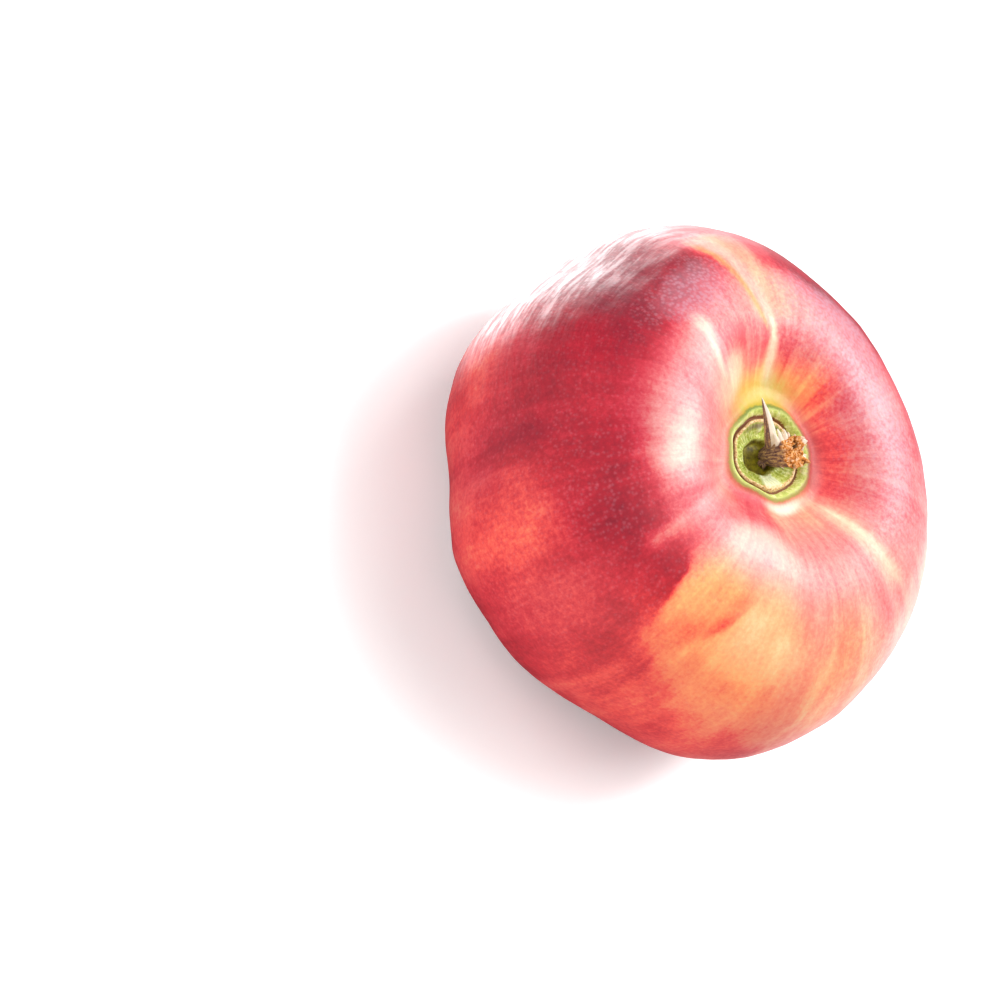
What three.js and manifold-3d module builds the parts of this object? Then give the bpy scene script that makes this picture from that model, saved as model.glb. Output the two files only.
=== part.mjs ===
// A flat nectarine, lying on its blossom end with the stem end up.
// The fruit is one solid: a tyre-like body with a stem cavity on top, a wider blossom
// hollow underneath and three creases that part the stem end into lobes. In the cavity
// lies the oval scar of the stalk, a green collar round a small bowl and pit. What is
// left of the stalk, a broken stub with one torn splinter, stands in that pit.
// Millimetres, +Z up. The origin is under the middle of the fruit, on the surface it rests on.
import * as THREE from "three";
import { mergeVertices } from "three/addons/utils/BufferGeometryUtils.js";
import Module from "manifold-3d";

// ---- Driving dimensions of the fruit ----
const WAIST_RADIUS = 33.5; // mean radius at the widest level
const STEM_HALF = 23.6; // from the widest level to the stem end, before the cavity is sunk
const BLOSSOM_HALF = 22.2; // from the widest level to the blossom end, before its hollow
const SQUARENESS = 2.35; // 2 would be an ellipsoid, more is squarer at the shoulders
const STEM_CAVITY = { depth: 8.8, width: 12.3, flatness: 2.6 }; // flatness 2 is a plain bell
const BLOSSOM_HOLLOW = { depth: 12.0, width: 12.0, flatness: 2.0 };
const TUBE_RADIUS = 18.8; // radius of the ring line in the middle of the tyre-like body

// Swellings (+) and flats (-) of the outline: azimuth and spread in degrees, height in mm.
const SWELLINGS = [
  { azimuth: 343, height: 1.2, spread: 19 },
  { azimuth: 28, height: 0.8, spread: 30 },
  { azimuth: 147, height: 0.9, spread: 24 },
  { azimuth: 193, height: -1.1, spread: 13 },
  { azimuth: 242, height: -1.7, spread: 14 },
  { azimuth: 312, height: -1.9, spread: 22 },
];

// Creases between the lobes: each is a sharp fold in a wide valley, deep at the stem end
// and fading to "side" times its depth at the widest level. It leaves the stalk at its azimuth
// and has turned by "drift" degrees where it reaches the widest level.
const CREASES = [
  { azimuth: 149, drift: 20, depth: 1.3, side: 0.1 },
  { azimuth: 22, drift: 0, depth: 1.1, side: 0.1 },
  { azimuth: 275, drift: 5, depth: 1.1, side: 0.3 },
];
const FOLD = { share: 0.4, width: 1.3 };
const VALLEY = { share: 1.1, width: 6.0 };
const CREASE_START = { none: 5.2, full: 8.5 }; // radii between which the creases set in

// The underside swells into three low lobes, cut flat where the fruit rests. The swelling
// fades away inside the blossom hollow.
const FEET = { count: 3, azimuth: 95, swell: 0.45, fade: 9.0 };
const SEAT_DROP = 18.55; // from the widest level down to the surface it rests on

// ---- Driving dimensions of the stalk's scar, as radii of its oval ----
const SCAR_OVAL = { x: 0.95, y: 1.13, fade: 12.0 }; // how far it departs from round, near the stalk
const COLLAR = { radius: 5.9, width: 0.55, height: 0.5 };
const GAP = { radius: 5.0, width: 0.24, height: -0.45 };
const LIP = { radius: 4.55, width: 0.25, height: 0.25 };
const BOWL = { outer: 4.4, inner: 3.2, depth: 0.5 };
const PIT = { outer: 3.15, inner: 2.6, depth: 1.4 };

// ---- Driving dimensions of the stalk's remains, from the middle of the scar ----
const REST_GAP = 0.3; // clearance between the stub and the pit's floor
const STUB_FOOT = { x: -0.1, y: 1.4 };
const STUB_TOP = { x: 1.25, y: 1.8, height: 4.0 };
const STUB_RADII = [0.95, 1.15, 1.2, 1.4, 1.8, 2.0]; // from its foot to the broken end
const STUB_SIDES = 16;
const STUB_RAGGED = 0.4; // how far the broken end rises and falls
const SPLINTER = {
  foot: { x: -0.6, y: 1.45, z: 1.2 },
  tip: { x: -6.6, y: -0.4, z: 4.7 },
  radius: 1.0,
  flat: 0.55, // thickness over width
  sides: 6,
};

// ---- How finely the fruit is divided ----
const SEGMENTS = 72;
const BODY_ROWS = 34;
const SCAR_RADII = [8.4, 7.6, 7.0, 6.4, 5.9, 5.55, 5.25, 5.0, 4.75, 4.55, 4.3, 3.8, 3.3, 3.1, 2.85, 2.6, 1.5, 0];

const wasm = await Module();
wasm.setup();

const degrees = THREE.MathUtils.degToRad;

// ---- Small shape functions ----

// A bell of height 1 at 0 that falls away over the width, flatter on top the higher its flatness.
function bell(distance, width, flatness = 2) {
  return Math.exp(-(Math.abs(distance / width) ** flatness));
}

// The difference of two azimuths, from -pi to pi.
function turn(a, b) {
  return THREE.MathUtils.euclideanModulo(a - b + Math.PI, 2 * Math.PI) - Math.PI;
}

// 1 inside the inner radius, 0 outside the outer one, smooth between.
function inside(radius, { outer, inner }) {
  return 1 - THREE.MathUtils.smoothstep(radius, inner, outer);
}

// ---- The fruit ----

// Height of the stalk's scar above or below the plain cavity floor, at a radius.
function scarRelief(radius) {
  let relief = 0;
  for (const ring of [COLLAR, GAP, LIP]) relief += ring.height * bell(radius - ring.radius, ring.width);
  relief -= BOWL.depth * inside(radius, BOWL);
  relief -= PIT.depth * inside(radius, PIT);
  return relief;
}

// The half section of the round body. The angle runs from 0 at the blossom end to pi at the stem end.
function sectionPoint(angle) {
  const across = Math.sin(angle);
  const up = -Math.cos(angle);
  const half = up > 0 ? STEM_HALF : BLOSSOM_HALF;
  const reach =
    ((across / WAIST_RADIUS) ** SQUARENESS + (Math.abs(up) / half) ** SQUARENESS) ** (-1 / SQUARENESS);
  const radius = reach * across;
  const plainHeight = reach * up;
  const { depth, width, flatness } = up > 0 ? STEM_CAVITY : BLOSSOM_HOLLOW;
  const sunk = depth * bell(radius, width, flatness) * Math.sqrt(Math.abs(plainHeight) / half);
  const height = up > 0 ? plainHeight - sunk + scarRelief(radius) : plainHeight + sunk;
  return new THREE.Vector2(radius, height);
}

// Angles of the rows: even over the body, then by radius through the scar.
function rowAngles() {
  const firstScarAngle = Math.PI - Math.asin(SCAR_RADII[0] / STEM_HALF);
  const body = Array.from({ length: BODY_ROWS }, (_, row) => (row / BODY_ROWS) * firstScarAngle);
  const scar = SCAR_RADII.map((radius) => Math.PI - Math.asin(radius / STEM_HALF));
  return [...body, ...scar];
}

// How far the creases push a point inwards.
function creaseDepth(radius, azimuth, height) {
  const topness = THREE.MathUtils.clamp(height / STEM_HALF, 0, 1);
  let depth = 0;
  for (const crease of CREASES) {
    const line = crease.azimuth + crease.drift * (radius / WAIST_RADIUS) ** 2;
    const aside = turn(azimuth, degrees(line)) * radius;
    const strength = crease.side + (1 - crease.side) * topness;
    const section = FOLD.share * bell(aside, FOLD.width) + VALLEY.share * bell(aside, VALLEY.width);
    depth += crease.depth * strength * section;
  }
  return depth * THREE.MathUtils.smoothstep(radius, CREASE_START.none, CREASE_START.full);
}

// Moves one point of the round body to its place on the lobed, creased and seated fruit.
function lobedPoint(radius, azimuth, height) {
  let swell = 0;
  for (const { azimuth: at, height: rise, spread } of SWELLINGS)
    swell += rise * bell(turn(azimuth, degrees(at)), degrees(spread));
  let r = radius * (1 + swell / WAIST_RADIUS);
  let z = height;

  const lowness = THREE.MathUtils.clamp(-height / BLOSSOM_HALF, 0, 1) * (1 - bell(radius, FEET.fade));
  z -= FEET.swell * lowness * Math.cos(FEET.count * (azimuth - degrees(FEET.azimuth)));

  const fromRing = Math.hypot(r - TUBE_RADIUS, z);
  const push = creaseDepth(r, azimuth, z);
  r -= (push * (r - TUBE_RADIUS)) / fromRing;
  z -= (push * z) / fromRing;

  const nearStalk = height > 0 ? bell(radius, SCAR_OVAL.fade) : 0;
  const x = r * Math.cos(azimuth) * (1 + (SCAR_OVAL.x - 1) * nearStalk);
  const y = r * Math.sin(azimuth) * (1 + (SCAR_OVAL.y - 1) * nearStalk);
  return new THREE.Vector3(x, y, Math.max(z, -SEAT_DROP));
}

function fruitGeometry() {
  const section = rowAngles().map(sectionPoint);
  section[0].x = 0;
  section.at(-1).x = 0;
  const geometry = new THREE.LatheGeometry(section, SEGMENTS).rotateX(Math.PI / 2);
  const position = geometry.getAttribute("position");
  const point = new THREE.Vector3();
  for (let i = 0; i < position.count; i++) {
    point.fromBufferAttribute(position, i);
    const radius = Math.hypot(point.x, point.y);
    const moved = lobedPoint(radius, Math.atan2(point.y, point.x), point.z);
    position.setXYZ(i, moved.x, moved.y, moved.z);
  }
  return onlyPositions(geometry);
}

// ---- The stalk's remains ----

// The stub: a ring of points at each height, leaning from its foot to its ragged end.
function stubGeometry(footHeight) {
  const topRow = STUB_RADII.length - 1;
  const length = STUB_TOP.height - footHeight;
  const section = [new THREE.Vector2(0, 0)];
  STUB_RADII.forEach((radius, row) => section.push(new THREE.Vector2(radius, (row / topRow) * length)));
  section.push(new THREE.Vector2(0, length));
  const geometry = new THREE.LatheGeometry(section, STUB_SIDES).rotateX(Math.PI / 2);
  const position = geometry.getAttribute("position");
  for (let i = 0; i < position.count; i++) {
    const x = position.getX(i);
    const y = position.getY(i);
    const z = position.getZ(i);
    const along = z / length;
    const azimuth = Math.atan2(y, x);
    const ragged = STUB_RAGGED * Math.sin(3 * azimuth + 1) * Math.hypot(x, y) * along ** 8;
    position.setXYZ(
      i,
      x + THREE.MathUtils.lerp(STUB_FOOT.x, STUB_TOP.x, along),
      y + THREE.MathUtils.lerp(STUB_FOOT.y, STUB_TOP.y, along),
      z + footHeight + ragged,
    );
  }
  return onlyPositions(geometry);
}

// The splinter: a flattened cone from its foot in the stub to its tip.
function splinterGeometry() {
  const foot = new THREE.Vector3(SPLINTER.foot.x, SPLINTER.foot.y, SPLINTER.foot.z);
  const tip = new THREE.Vector3(SPLINTER.tip.x, SPLINTER.tip.y, SPLINTER.tip.z);
  const along = tip.clone().sub(foot);
  const turned = new THREE.Quaternion().setFromUnitVectors(
    new THREE.Vector3(0, 1, 0),
    along.clone().normalize(),
  );
  const geometry = new THREE.ConeGeometry(SPLINTER.radius, along.length(), SPLINTER.sides)
    .scale(1, 1, SPLINTER.flat)
    .applyQuaternion(turned)
    .translate(...foot.add(tip).multiplyScalar(0.5).toArray());
  return onlyPositions(geometry);
}

// ---- Closed meshes and joining ----

function onlyPositions(geometry) {
  geometry.deleteAttribute("normal");
  geometry.deleteAttribute("uv");
  return geometry;
}

function solidOf(geometry) {
  const merged = mergeVertices(geometry, 1e-3);
  return new wasm.Manifold(
    new wasm.Mesh({
      numProp: 3,
      vertProperties: merged.getAttribute("position").array,
      triVerts: new Uint32Array(merged.index.array),
    }),
  );
}

function geometryOf(solid) {
  const mesh = solid.getMesh();
  return new THREE.BufferGeometry()
    .setAttribute("position", new THREE.BufferAttribute(mesh.vertProperties, 3))
    .setIndex(new THREE.BufferAttribute(mesh.triVerts, 1));
}

// ---- The assembled nectarine ----

const skin = new THREE.MeshStandardMaterial({ color: 0xb9303f, roughness: 0.38, metalness: 0 });
const dryStalk = new THREE.MeshStandardMaterial({ color: 0x9a683c, roughness: 0.85, metalness: 0 });

const fruit = new THREE.Mesh(fruitGeometry(), skin);
fruit.name = "fruit";

const scarHeight = STEM_HALF - STEM_CAVITY.depth; // where the fruit's plain cavity floor lies
const pitFloor = -BOWL.depth - PIT.depth;
const stalk = solidOf(stubGeometry(pitFloor + REST_GAP)).add(solidOf(splinterGeometry()));
const stalkRemains = new THREE.Mesh(geometryOf(stalk), dryStalk);
stalkRemains.name = "stalk_stub";
stalkRemains.position.z = scarHeight;

// The fruit's middle, seen from above, stands over the origin, and its feet on Z 0.
fruit.geometry.computeBoundingBox();
const middle = fruit.geometry.boundingBox.getCenter(new THREE.Vector3());
const nectarine = new THREE.Group();
nectarine.add(fruit, stalkRemains);
nectarine.position.set(-middle.x, -middle.y, SEAT_DROP);

export default nectarine;
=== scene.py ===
"""A flat nectarine that lies on its blossom end, with the stem end up.

The fruit is one closed skin surface with a stem cavity on top, a blossom hollow underneath
and three creases. In the cavity lies the scar of the stalk, and in the scar stands what is
left of the stalk: a torn stub with a splinter and a few loose fibres.

Shapes are worked out in millimetres and put into the meshes in metres. Azimuths are in
degrees, from +X towards +Y. The arc of a point on the skin is its distance from the middle
of the stalk's scar, measured along the skin.
"""

import itertools
import logging
import math
from collections.abc import Sequence
from dataclasses import dataclass, field
from enum import Enum
from typing import ClassVar

import bpy
import numpy as np
from mathutils import Matrix, Vector


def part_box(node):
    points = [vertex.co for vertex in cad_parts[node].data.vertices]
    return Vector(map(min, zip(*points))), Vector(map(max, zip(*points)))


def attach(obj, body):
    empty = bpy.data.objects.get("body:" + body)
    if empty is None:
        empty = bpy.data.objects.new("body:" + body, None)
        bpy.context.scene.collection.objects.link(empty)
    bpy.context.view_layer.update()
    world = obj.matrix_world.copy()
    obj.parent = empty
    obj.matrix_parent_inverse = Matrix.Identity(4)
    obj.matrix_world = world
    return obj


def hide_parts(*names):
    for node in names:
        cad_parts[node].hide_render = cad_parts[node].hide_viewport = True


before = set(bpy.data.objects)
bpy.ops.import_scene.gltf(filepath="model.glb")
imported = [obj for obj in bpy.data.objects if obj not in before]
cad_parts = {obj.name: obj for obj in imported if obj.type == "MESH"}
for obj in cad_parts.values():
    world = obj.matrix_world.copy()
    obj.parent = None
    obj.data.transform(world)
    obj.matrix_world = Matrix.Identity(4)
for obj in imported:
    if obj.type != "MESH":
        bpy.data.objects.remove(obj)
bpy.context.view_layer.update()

Array = np.ndarray
Pair = tuple[float, float]
Triple = tuple[float, float, float]
Colour = Triple
Stops = tuple[tuple[float, Colour], ...]

MM = 0.001
LOG = logging.getLogger("nectarine")


# ---- Small functions on arrays -------------------------------------------------------------


def bell(distance: Array, width: float | Array, flatness: float = 2.0) -> Array:
    """A bell of height 1 at 0: e to the minus (distance over width) to the power flatness."""
    return np.exp(-(np.abs(distance / width) ** flatness))


def ease(value: Array, start: float, end: float) -> Array:
    """A smooth step from 0 at start to 1 at end, with level ends. Start may be the larger."""
    share = np.clip((value - start) / (end - start), 0.0, 1.0)
    return share * share * (3.0 - 2.0 * share)


def turn(azimuth: Array | float, other: Array | float) -> Array:
    """How far azimuth lies past other, from -180 to 180 degrees."""
    return (azimuth - other + 180.0) % 360.0 - 180.0


def toward(start: Array, end: float | Array, share: Array) -> Array:
    """The value that lies the share of the way from start to end."""
    return start + (end - start) * share


class Grain:
    """Smooth seeded noise: random values at the corners of unit cubes, blended between them."""

    SIDE: ClassVar[int] = 32
    LAYER_SHIFT: ClassVar[float] = 5.3  # keeps the layers' cubes from sharing corners

    def __init__(self, seed: int) -> None:
        """Draws the values of the corners, from -1 to 1."""
        self.corners = np.random.default_rng(seed).uniform(-1.0, 1.0, (self.SIDE,) * 3)

    def at(self, points: Array, octaves: int = 1) -> Array:
        """The noise at some points.

        Args:
            points: Array of any shape whose last axis holds x, y and z, in cube sides.
            octaves: How many layers are added, each half as strong and twice as fine.

        Returns:
            One value for each point, mostly between -0.7 and 0.7.
        """
        total = np.zeros(points.shape[:-1])
        for octave in range(octaves):
            total += self._blend(points * 2.0**octave + self.LAYER_SHIFT * octave) / 2.0**octave
        return total

    def _blend(self, points: Array) -> Array:
        """One layer: the eight corner values of each point's cube, weighted by nearness.

        Args:
            points: Array of any shape whose last axis holds x, y and z, in cube sides.

        Returns:
            One value for each point, from -1 to 1.
        """
        cell = np.floor(points).astype(int)
        near = ease(points - cell, 0.0, 1.0)
        value = np.zeros(points.shape[:-1])
        for corner in itertools.product((0, 1), repeat=3):
            weight = np.prod(np.where(corner, near, 1.0 - near), axis=-1)
            x, y, z = np.moveaxis((cell + corner) % self.SIDE, -1, 0)
            value += weight * self.corners[x, y, z]
        return value


# ---- Meshes --------------------------------------------------------------------------------


def grid_quads(rows: int, columns: int) -> Array:
    """Quads between the rows of a grid whose columns close on themselves.

    Each quad joins a point, its neighbour round the grid, and the two points a row up.

    Args:
        rows: How many rows the grid has.
        columns: How many points a row has.

    Returns:
        Four indices for each quad, into the grid's points taken row by row.
    """
    index = np.arange(rows * columns).reshape(rows, columns)
    following = np.roll(index, -1, axis=1)
    quads = np.stack([index[:-1], following[:-1], following[1:], index[1:]], axis=-1)
    return quads.reshape(-1, 4)


@dataclass
class Surface:
    """A closed surface on a grid: rows run from its first pole to its last, columns round it.

    Attributes:
        points: Rows by columns by 3, in millimetres. The columns close on themselves.
        first_pole: The point that closes the first row.
        last_pole: The point that closes the last row.
        paint: Painted values by layer, rows by columns or rows by columns by 3.
    """

    points: Array
    first_pole: Array
    last_pole: Array
    paint: dict[Enum, Array]

    def move(self, shift: Array) -> None:
        """Moves the whole surface by a shift in millimetres."""
        self.points = self.points + shift
        self.first_pole, self.last_pole = self.first_pole + shift, self.last_pole + shift

    def vertices(self) -> Array:
        """All points in one list: the grid row by row, then the two poles."""
        return np.vstack([self.points.reshape(-1, 3), self.first_pole, self.last_pole])

    def faces(self) -> tuple[Array, Array]:
        """Quads between the rows and triangles round the poles.

        Returns:
            Quads and triangles as indices into vertices(), turned to face away from the inside
            when the columns run counter-clockwise as seen from the last pole.
        """
        rows, columns = self.points.shape[:2]
        lowest = np.arange(columns)
        highest = lowest + (rows - 1) * columns
        first = np.full(columns, rows * columns)
        start = np.stack([np.roll(lowest, -1), lowest, first], axis=-1)
        end = np.stack([highest, np.roll(highest, -1), first + 1], axis=-1)
        return grid_quads(rows, columns), np.vstack([start, end])

    def painted(self, layer: Enum) -> Array:
        """The values of one layer, each pole taking the mean of its row.

        Args:
            layer: The layer.

        Returns:
            One value or vector for each point, in the order of vertices().
        """
        values = self.paint[layer]
        rows = values.reshape((-1,) + values.shape[2:])
        poles = [values[0].mean(axis=0, keepdims=True), values[-1].mean(axis=0, keepdims=True)]
        return np.concatenate([rows, *poles])


def mesh_object(name: str, surfaces: Sequence[Surface]) -> bpy.types.Object:
    """Puts closed surfaces into one smooth mesh object at the origin.

    Args:
        name: The object's name.
        surfaces: The surfaces, all painted with the same layers.

    Returns:
        The linked object. Each layer is a float or vector attribute on its points.
    """
    vertices, quads, triangles, first = [], [], [], 0
    for surface in surfaces:
        new_quads, new_triangles = surface.faces()
        vertices.append(surface.vertices())
        quads.append(new_quads + first)
        triangles.append(new_triangles + first)
        first += len(vertices[-1])
    mesh = bpy.data.meshes.new(name)
    faces = np.vstack(quads).tolist() + np.vstack(triangles).tolist()
    mesh.from_pydata((np.vstack(vertices) * MM).tolist(), [], faces)
    for layer in surfaces[0].paint:
        values = np.concatenate([surface.painted(layer) for surface in surfaces])
        kind, key = ("FLOAT", "value") if values.ndim == 1 else ("FLOAT_VECTOR", "vector")
        attribute = mesh.attributes.new(layer.value, kind, "POINT")
        attribute.data.foreach_set(key, values.astype(np.float32).ravel())
    mesh.polygons.foreach_set("use_smooth", np.ones(len(mesh.polygons), dtype=bool))
    mesh.update()
    return linked(name, mesh)


def linked(name: str, data: bpy.types.ID) -> bpy.types.Object:
    """Makes an object of a mesh, a light or a camera and links it to the scene.

    Args:
        name: The object's name.
        data: What it shows.

    Returns:
        The object, at the origin.
    """
    thing = bpy.data.objects.new(name, data)
    bpy.context.scene.collection.objects.link(thing)
    return thing


# ---- Shader nodes as Python expressions ----------------------------------------------------


@dataclass(frozen=True)
class Noise:
    """A cloudy noise.

    Attributes:
        size: About how large its patches are, in the unit of the place it is read at.
        detail: How many finer layers are added.
        roughness: How strong each finer layer is against the one before.
    """

    size: float
    detail: float = 2.0
    roughness: float = 0.5


class Expr:
    """An output socket. Arithmetic on one that carries a number adds the Math nodes it needs."""

    def __init__(self, nodes: "Nodes", socket: bpy.types.NodeSocket) -> None:
        """Wraps an output socket of the node tree."""
        self.nodes = nodes
        self.socket = socket

    def _math(self, operation: str, *values: "Expr | float") -> "Expr":
        """One Math node over the values, in order."""
        return self.nodes.node("ShaderNodeMath", {"operation": operation}, dict(enumerate(values)))

    def __add__(self, other: "Expr | float") -> "Expr":
        """self + other."""
        return self._math("ADD", self, other)

    def __sub__(self, other: "Expr | float") -> "Expr":
        """self - other."""
        return self._math("SUBTRACT", self, other)

    def __rsub__(self, other: float) -> "Expr":
        """other - self."""
        return self._math("SUBTRACT", other, self)

    def __mul__(self, other: "Expr | float") -> "Expr":
        """self * other."""
        return self._math("MULTIPLY", self, other)

    def __truediv__(self, other: "Expr | float") -> "Expr":
        """self / other."""
        return self._math("DIVIDE", self, other)

    def __abs__(self) -> "Expr":
        """abs(self)."""
        return self._math("ABSOLUTE", self)

    __radd__ = __add__
    __rmul__ = __mul__

    def most(self, other: "Expr | float") -> "Expr":
        """The larger of the two."""
        return self._math("MAXIMUM", self, other)

    def clamped(self) -> "Expr":
        """The value held between 0 and 1."""
        return self._math("MINIMUM", self.most(0.0), 1.0)

    def ease(self, start: float, end: float) -> "Expr":
        """A smooth step from 0 to 1 with level ends.

        Args:
            start: The value at which the step is 0.
            end: The value at which it is 1; it may be the smaller of the two.

        Returns:
            The step as an expression.
        """
        low, high, low_to, high_to = (start, end, 0.0, 1.0) if start < end else (end, start, 1.0, 0.0)
        values = {"Value": self, "From Min": low, "From Max": high, "To Min": low_to, "To Max": high_to}
        return self.nodes.node("ShaderNodeMapRange", {"interpolation_type": "SMOOTHSTEP"}, values)


class Nodes:
    """Builds the node tree of one material or of the world."""

    def __init__(self, home: bpy.types.Material | bpy.types.World) -> None:
        """Clears a tree, to which the nodes are then added.

        Args:
            home: The material or world that the tree belongs to.
        """
        home.use_nodes = True
        self.home = home
        self.tree = home.node_tree
        self.tree.nodes.clear()

    @classmethod
    def of_material(cls, name: str) -> "Nodes":
        """Starts a new material."""
        return cls(bpy.data.materials.new(name))

    def add(self, kind: str, settings: dict | None = None, values: dict | None = None) -> bpy.types.Node:
        """Adds any node.

        Args:
            kind: The node's type.
            settings: Its own properties, set first, or the "stops" of its colour ramp.
            values: Socket values or links, by the socket's name or number.

        Returns:
            The node.
        """
        added = self.tree.nodes.new(kind)
        for name, value in (settings or {}).items():
            if name == "stops":
                self._set_stops(added.color_ramp.elements, value)
            else:
                setattr(added, name, value)
        for name, value in (values or {}).items():
            socket = added.inputs[name]
            if isinstance(value, Expr):
                self.tree.links.new(value.socket, socket)
            else:
                socket.default_value = value
        return added

    def node(
        self, kind: str, settings: dict | None = None, values: dict | None = None, output: str | int = 0
    ) -> Expr:
        """Adds any node and wraps one of its outputs.

        Args:
            kind: The node's type.
            settings: As for add().
            values: Socket values or links, by the socket's name or number.
            output: The output that is wrapped, by name or number.

        Returns:
            The wrapped output.
        """
        return Expr(self, self.add(kind, settings, values).outputs[output])

    def _set_stops(self, elements: bpy.types.ColorRampElements, stops: Stops) -> None:
        """Sets a colour ramp's stops.

        Args:
            elements: The ramp's own stops, two of them in a new ramp.
            stops: Positions, lowest first, with their colours.
        """
        while len(elements) < len(stops):
            elements.new(1.0)
        for element, (position, colour) in zip(elements, stops):
            element.position = position
            element.color = linear(colour)

    def place(self) -> Expr:
        """Object coordinates in millimetres."""
        values = {0: self.node("ShaderNodeTexCoord", output="Object"), 1: (1.0 / MM,) * 3}
        return self.node("ShaderNodeVectorMath", {"operation": "MULTIPLY"}, values)

    def paint(self, layer: Enum) -> Expr:
        """A number painted on the mesh's points."""
        return self.node("ShaderNodeAttribute", {"attribute_name": layer.value}, output="Fac")

    def direction(self, layer: Enum) -> Expr:
        """A vector painted on the mesh's points."""
        return self.node("ShaderNodeAttribute", {"attribute_name": layer.value}, output="Vector")

    def noise(self, place: Expr, noise: Noise) -> Expr:
        """A cloudy noise from 0 to 1, read at a place."""
        values = {"Scale": 1.0 / noise.size, "Detail": noise.detail, "Roughness": noise.roughness}
        return self.node("ShaderNodeTexNoise", None, {"Vector": place, **values}, "Fac")

    def cells(self, place: Expr, size: float) -> Expr:
        """Distance to the nearest of scattered points that stand about the size apart, in sizes."""
        values = {"Vector": place, "Scale": 1.0 / size}
        return self.node("ShaderNodeTexVoronoi", None, values, "Distance")

    def ramp(self, factor: Expr, stops: Stops) -> Expr:
        """A colour that changes along the stops with the factor."""
        return self.node("ShaderNodeValToRGB", {"stops": stops}, {0: factor})

    def mix(self, start: "Expr | Colour", end: "Expr | Colour", share: Expr) -> Expr:
        """The colour that lies the share of the way from start to end."""
        ends = [value if isinstance(value, Expr) else linear(value) for value in (start, end)]
        return self.node("ShaderNodeMix", {"data_type": "RGBA"}, {0: share, 6: ends[0], 7: ends[1]}, 2)

    def bump(self, height: Expr) -> Expr:
        """The normal bent by a height in millimetres."""
        values = {"Height": height, "Strength": 1.0, "Distance": MM}
        return self.node("ShaderNodeBump", None, values, "Normal")

    def surface(self, values: dict) -> bpy.types.Material:
        """Ends the material with a surface shader that takes these socket values."""
        return self.close(self.node("ShaderNodeBsdfPrincipled", None, values))

    def close(self, shader: Expr, output: str = "ShaderNodeOutputMaterial") -> bpy.types.ID:
        """Links a shader to the tree's output.

        Args:
            shader: What the material or the world shows.
            output: The type of the output node.

        Returns:
            The finished material or world.
        """
        self.add(output, None, {"Surface": shader})
        return self.home


def linear(colour: Colour) -> tuple[float, float, float, float]:
    """Turns a colour as seen on a screen into linear light.

    Args:
        colour: 0 to 255 per channel.

    Returns:
        Red, green and blue from 0 to 1, and an alpha of 1.
    """
    shares = np.array(colour) / 255.0
    light = np.where(shares <= 0.04045, shares / 12.92, ((shares + 0.055) / 1.055) ** 2.4)
    return (*(float(channel) for channel in light), 1.0)


# ---- The fruit's shape ---------------------------------------------------------------------


@dataclass(frozen=True)
class Swelling:
    """A swelling (+) or flat (-) of the outline: azimuth and spread in degrees, height in mm."""

    azimuth: float
    height: float
    spread: float


@dataclass(frozen=True)
class Crease:
    """A sharp fold in a wide valley between two lobes.

    It leaves the stalk at its azimuth and has turned by the drift where it reaches the widest
    level, where it keeps "side" times its depth.
    """

    azimuth: float
    drift: float
    depth: float
    side: float

    def aside(self, azimuth: Array, radius: Array, waist: float) -> Array:
        """Distance in mm from the crease's line, along the azimuth."""
        line = self.azimuth + self.drift * (radius / waist) ** 2
        return np.radians(turn(azimuth, line)) * radius


@dataclass(frozen=True)
class Dip:
    """A hollow round the axis, as deep as depth on it, in the shape of a bell."""

    depth: float
    width: float
    flatness: float

    def sunk(self, radius: Array) -> Array:
        """How far the surface is sunk at a radius."""
        return self.depth * bell(radius, self.width, self.flatness)


@dataclass(frozen=True)
class Ring:
    """A raised (+) or sunk (-) ring of the stalk's scar."""

    radius: float
    width: float
    height: float


@dataclass(frozen=True)
class Step:
    """A round step down: level outside the outer radius, sunk by depth inside the inner one."""

    outer: float
    inner: float
    depth: float

    def sunk(self, radius: Array) -> Array:
        """How far the surface is sunk at a radius."""
        return self.depth * ease(radius, self.outer, self.inner)


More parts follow.
